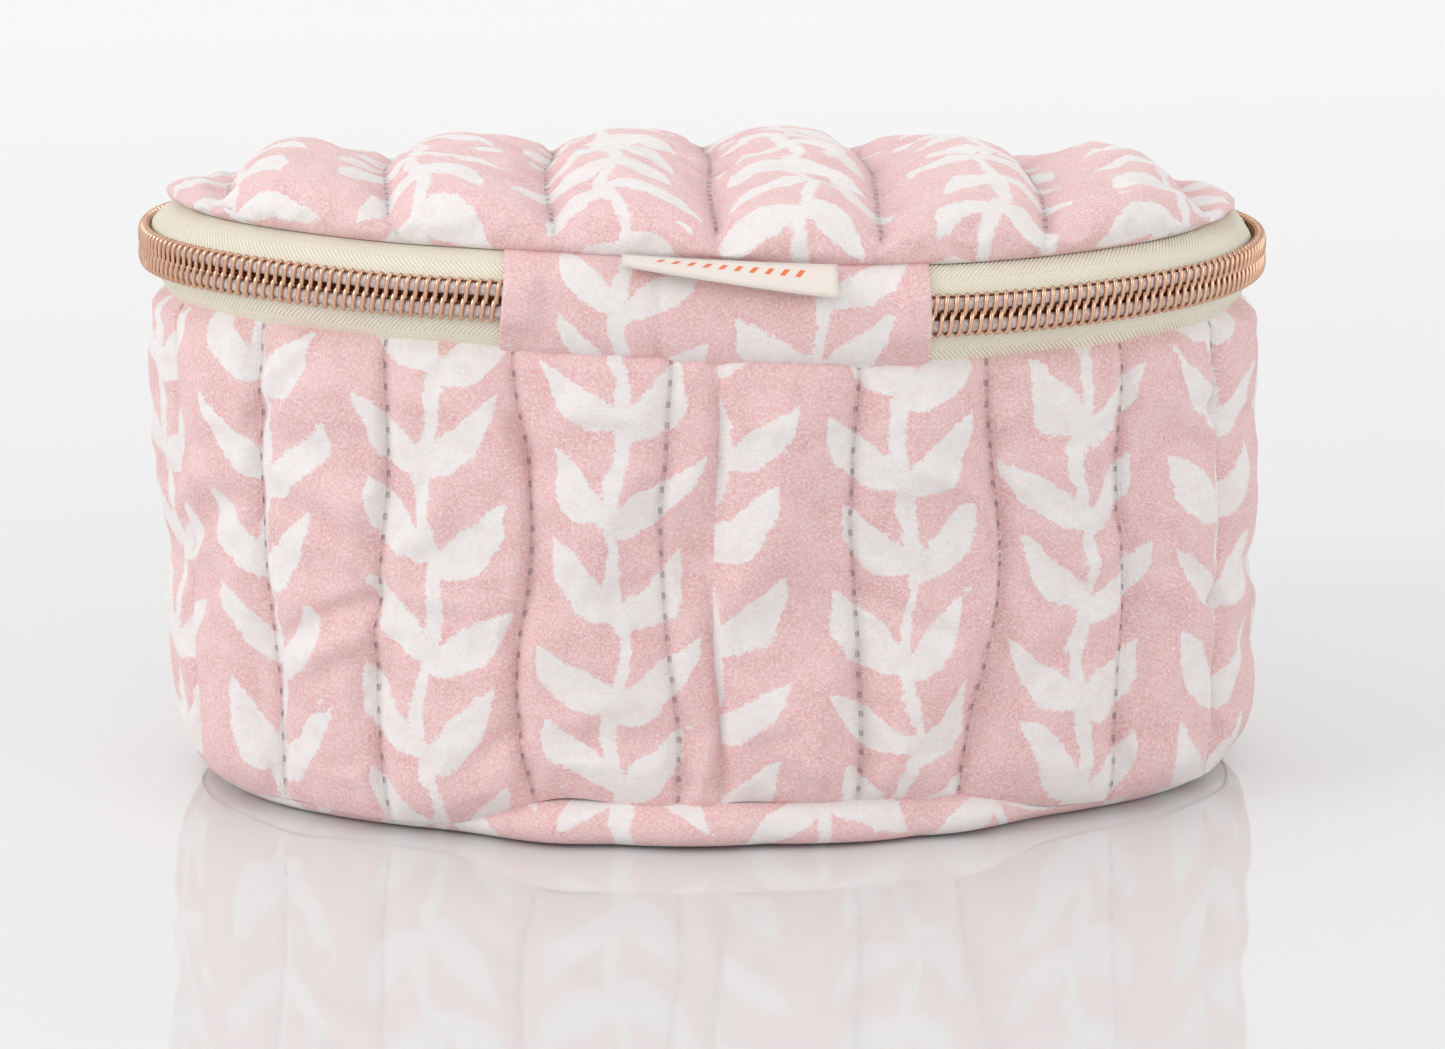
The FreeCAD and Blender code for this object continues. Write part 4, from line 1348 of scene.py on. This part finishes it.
panel_place = np.stack(np.meshgrid(panel_lengths + 0.311, panel_run), -1)
hinge_panel = pillow("hinge_panel", panel_sheet(0.0, 1.0), panel_sheet(1.5, 0.8), panel_place)
panel_back = pillow("hinge_panel_back", panel_sheet(1.55, 0.8), panel_sheet(2.0, 0.8), panel_place)
outer_nodes, lining_nodes = ("hinge_panel_outer", "hinge_panel_wadding"), ("hinge_panel_lining",)
for piece, material, slot, nodes in ((hinge_panel, panel_cotton, "printed_cotton", outer_nodes),
                                     (panel_back, lining_cotton, "lining_cotton", lining_nodes)):
    place_points(piece, settled)
    finish_piece(piece, None, material, nodes, levels=1)
    bend_with_lid(piece)

# %% [markdown]
# ## The label
#
# A small folded tape is caught in the seam above the hinge panel. It stands out nearly level at its left end
# and droops at its right, so it is a twisted sheet with a soft curve, doubled back on itself at its outer
# edge.

# %% Make the label
label_x = np.linspace(-14.5 * MM, 19.0 * MM, 34)
# how far from the seam and how high off its lower layer the tape is: down its face, round the fold, and back
label_section = np.array([(0, 0.70), (1.4, 0.80), (2.9, 0.86), (4.4, 0.88), (5.8, 0.88), (6.6, 0.80),
                          (7.0, 0.55), (6.9, 0.28), (6.4, 0.12), (5.0, 0.08), (3.4, 0.06), (1.7, 0.04),
                          (0, 0.02)])
label_drop = label_section[:, 0].max() * MM
label_run = run_along(label_section) * MM
share_along = (label_x - label_x[0]) / (label_x[-1] - label_x[0])
root = on_oval(label_x, 2.2 * MM)[0]
label_points = []
for reach, shift in label_section * MM:
    lean = np.radians(82 - 34 * share_along + 10 * reach / label_drop)
    y = root[:, 1] - reach * np.sin(lean) - shift * np.cos(lean)
    z = 91.9 * MM - reach * np.cos(lean) + shift * np.sin(lean)
    label_points.append(np.stack([root[:, 0], y, z], -1))
label_place = np.stack(np.meshgrid(label_x - label_x.mean(), label_run), -1)
woven_label = grid_piece("woven_label", np.array(label_points), label_place)
thicken(woven_label, 0.22 * MM, -1)
rest = np.array([v.co for v in woven_label.data.vertices])
place_points(woven_label, settled)
finish_piece(woven_label, None, label_tape, ("label",))
bend_with_lid(woven_label)

# %% [markdown]
# ## Linings and bindings
#
# The inside shows when the lid is open. The linings are thinner, flatter sheets that lie against the
# quilting, and bias tape is folded over each seam. A binding is a small rounded section carried round the
# oval.

# %% Line the wall, the base and the lid
lining_heights = np.linspace(foot_height + 0.2 * MM, rim_height - 0.5 * MM, wall_levels)
lining_H = lining_heights[:, None] * np.ones(len(columns))
lining_inset = (3.3 + 0.7 * (1 - (4 * S * (1 - S)) ** 0.5)) * MM
lining_plan, lining_way = on_oval(L, lining_inset)
lining_points = np.concatenate([lining_plan, lining_H[..., None]], -1)
lining_place = np.stack([L, lining_H], -1)
wall_lining = grid_piece("wall_lining_cloth", lining_points, lining_place, closed=True, flip=True)
add_row_map(wall_lining, np.minimum(to_left, to_right), lining_H)
place_points(wall_lining, settled)
finish_piece(wall_lining, "bag", quilted_lining, ("wall_lining",))
bits = []
for column in row_columns:
    inward = -np.concatenate([lining_way[1:-1, column], np.zeros((wall_levels - 2, 1))], -1)
    bits += stitches_along(settled(lining_points[1:-1, column]), inward)
lining_stitches = joined("lining_stitches", bits)
finish_piece(lining_stitches, "bag", pale_thread)

lining_rings, lining_places = [], []
for depth in (2.4, 4.0, 8.0, 14.0, 22.0, 36.0):
    swell = 0.25 * MM * gentle_waves(around, np.full_like(around, depth * MM), 41, 36 * MM)
    lining_rings.append(ring_of(around, depth * MM, 4.75 * MM + swell * min(1, (depth - 2.4) / 6)))
    lining_places.append(on_oval(around, depth * MM)[0])
base_lining = closed_sheet("base_lining_cloth", np.array(lining_rings), np.array(lining_places))
place_points(base_lining, settled)
finish_piece(base_lining, "bag", lining_cotton, ("base_lining",), levels=1)

# the lid's own points again, without its turned-down edge, on a lower and smaller curve
under_curve = np.array([(7.4, 92.3), (7.3, 92.9), (8.0, 93.8), (10.0, 94.7), (14, 95.4), (20, 95.9),
                        (28, 96.1), (60, 96.2)])
under_run = run_along(under_curve)
inner = np.flatnonzero(lid_run > edge_steps[-1] / MM - 0.1)
renumbered = np.full(len(lid_plan), -1)
renumbered[inner] = np.arange(len(inner))
kept_faces = [renumbered[list(face)] for face in lid_faces]
under_faces = [tuple(int(i) for i in face[::-1]) for face in kept_faces if min(face) >= 0]
flat_under = lid_plan[inner]
run_here = lid_run[inner] - edge_steps[-1] / MM
under_inset = np.interp(run_here, under_run, under_curve[:, 0]) * MM
under_height = np.interp(run_here, under_run, under_curve[:, 1])
under_plan = flat_under - way_out(flat_under) * (under_inset - inset_of(flat_under))[:, None]
under_across = nearest_row(*flat_under.T)[1]
dimple = 0.5 * (1 - (4 * under_across * (1 - under_across)) ** 0.5) * smooth_step(run_here, 1, 4)
sunk = lid_slump(*under_plan.T) * np.clip((under_height - under_curve[0, 1]) / 4, 0, 1)
under_points = np.concatenate([under_plan, ((under_height + dimple - 0.5 - sunk) * MM)[:, None]], -1)
lid_lining = piece_from("lid_lining_cloth", under_points, under_faces, flat_under)
add_row_map(lid_lining, np.abs(row_off[inner]), flat_under[:, 1].copy())
place_points(lid_lining, settled)
finish_piece(lid_lining, "lid", quilted_lining, ("lid_lining",))

# %% Bind the seams
binding_lengths = np.arange(240) / 240 * girth


def binding_round(name, middle_inset, middle_height, half_thick, half_tall, body, node):
    """Bias tape folded over a seam, all the way round."""
    turns = np.arange(10) * 2 * np.pi / 10
    rows = []
    ripple = gentle_waves(binding_lengths, np.zeros_like(binding_lengths), len(name), 16 * MM)
    for turn in list(turns) + [turns[0]]:
        c = np.sign(np.cos(turn)) * abs(np.cos(turn)) ** 0.6
        s = np.sign(np.sin(turn)) * abs(np.sin(turn)) ** 0.6
        inset = middle_inset + half_thick * c + ripple * 0.12 * MM
        rows.append(ring_of(binding_lengths, inset, middle_height + half_tall * s + ripple * 0.15 * MM))
    rows = np.array(rows)
    along = np.broadcast_to(binding_lengths, rows.shape[:2])
    over = np.broadcast_to(np.arange(len(rows))[:, None] * half_tall / 2, rows.shape[:2])
    piece = grid_piece(name, rows, np.stack([along + over, along * 0.7 - over], -1), closed=True)
    face_outwards(piece, weld=MM / 1000)
    place_points(piece, settled)
    finish_piece(piece, body, binding_cotton, (node,), levels=1)


binding_round("base_binding", 4.7 * MM, 8.6 * MM, 0.75 * MM, 3.4 * MM, "bag", "base_seam_binding")
binding_round("rim_binding", 4.65 * MM, 73.8 * MM, 0.7 * MM, 4.2 * MM, "bag", "rim_seam_binding")
binding_round("lid_binding", 7.3 * MM, 90.9 * MM, 1.2 * MM, 0.42 * MM, "lid", "lid_seam_binding")

closing_heights = np.linspace(12.2, 69.4, 24) * MM
closing_half_width = 4.5 * MM
closing_lengths = np.linspace(-closing_half_width, closing_half_width, 7)


def closing_sheet(inset):
    rows = []
    for height in closing_heights:
        depth = (inset - 0.25 * (closing_lengths / closing_half_width) ** 4) * MM
        rows.append(ring_of(closing_lengths, depth, height))
    return np.array(rows)


closing_place = np.stack(np.meshgrid(closing_lengths, closing_heights), -1)
closing_binding = pillow("closing_binding", closing_sheet(4.05), closing_sheet(4.7), closing_place)
place_points(closing_binding, settled)
finish_piece(closing_binding, "bag", binding_cotton, ("closing_seam_binding",), levels=1)

# %% [markdown]
# ## Sliders and pulls
#
# The two sliders meet in the middle of the opening side. Their solids are already the right shape, so they
# stay, and only get the plated finish.

# %% Plate the metal parts
for side in ("left", "right"):
    for part in ("slider_body", "slider_bail", "pull_link", "pull_tab"):
        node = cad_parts[f"{side}_{part}"]
        node.data.materials.clear()
        node.data.materials.append(slider_gold)
print("sliders plated")

# %% [markdown]
# ## Table and light
#
# The bag stands on a glossy white table in a white room with a greyer ceiling. The table is a large plane
# that gives the soft reflection. One wide soft light above and one at each side leave only a thin shadow at
# the foot.

# %% Lay the table
TABLE_SIZE = 14
TABLE_NEAR, TABLE_MOTTLE = (0.735, 0.735, 0.735, 1), (0.745, 0.745, 0.745, 1)
# The far colour is lighter as painted light on the backdrop behind the bag.
TABLE_FAR = (0.890, 0.890, 0.890, 1)


def table_material():
    material, shader, wire = new_material("white_table", specular=0.5)
    place = wire.node("ShaderNodeTexCoord", {}, {}, "Object")
    _, back, _ = place.parts()
    near = wire.blend(TABLE_NEAR, TABLE_MOTTLE, wire.noise(place, 3.0))
    # The table is painted lighter towards the back, as painted light on the backdrop.
    further = back.eased(0.10 / TABLE_SIZE, 0.95 / TABLE_SIZE)
    feed(shader, "Base Color", wire.blend(near, TABLE_FAR, further))
    feed(shader, "Roughness", 0.05)
    return material


bpy.ops.mesh.primitive_plane_add(size=1, location=(0, 0, 0))
table = bpy.context.object
table.name = "table"
table.scale = (TABLE_SIZE, TABLE_SIZE, 1)
table.data.materials.append(table_material())


def soft_light(name, place, size, power):
    data = bpy.data.lights.new(name, "AREA")
    data.shape = "RECTANGLE"
    data.size, data.size_y = size
    data.energy = power
    light = bpy.data.objects.new(name, data)
    bpy.context.scene.collection.objects.link(light)
    light.location = place
    light.rotation_euler = (Vector(place) - Vector((0, 0, 0.05))).to_track_quat("Z", "Y").to_euler()


soft_light("top_light", (-0.25, 0.10, 1.2), (1.0, 0.8), 1.6)
soft_light("left_light", (-1.0, -0.55, 0.60), (0.6, 0.6), 4.6)
soft_light("right_light", (1.0, -0.60, 0.45), (0.7, 0.6), 2.2)
world = bpy.data.worlds.new("white_room")
world.use_nodes = True
room = Wire(world.node_tree)
upward = room.node("ShaderNodeTexCoord", {}, {}, "Generated").parts()[2]
WALL_WHITE, CEILING_GREY = (0.97, 0.97, 0.97, 1), (0.62, 0.62, 0.62, 1)
walls_and_ceiling = room.blend(WALL_WHITE, CEILING_GREY, upward.eased(0.30, 0.95))
feed(world.node_tree.nodes["Background"], "Color", walls_and_ceiling)
feed(world.node_tree.nodes["Background"], "Strength", 1.08)
bpy.context.scene.world = world
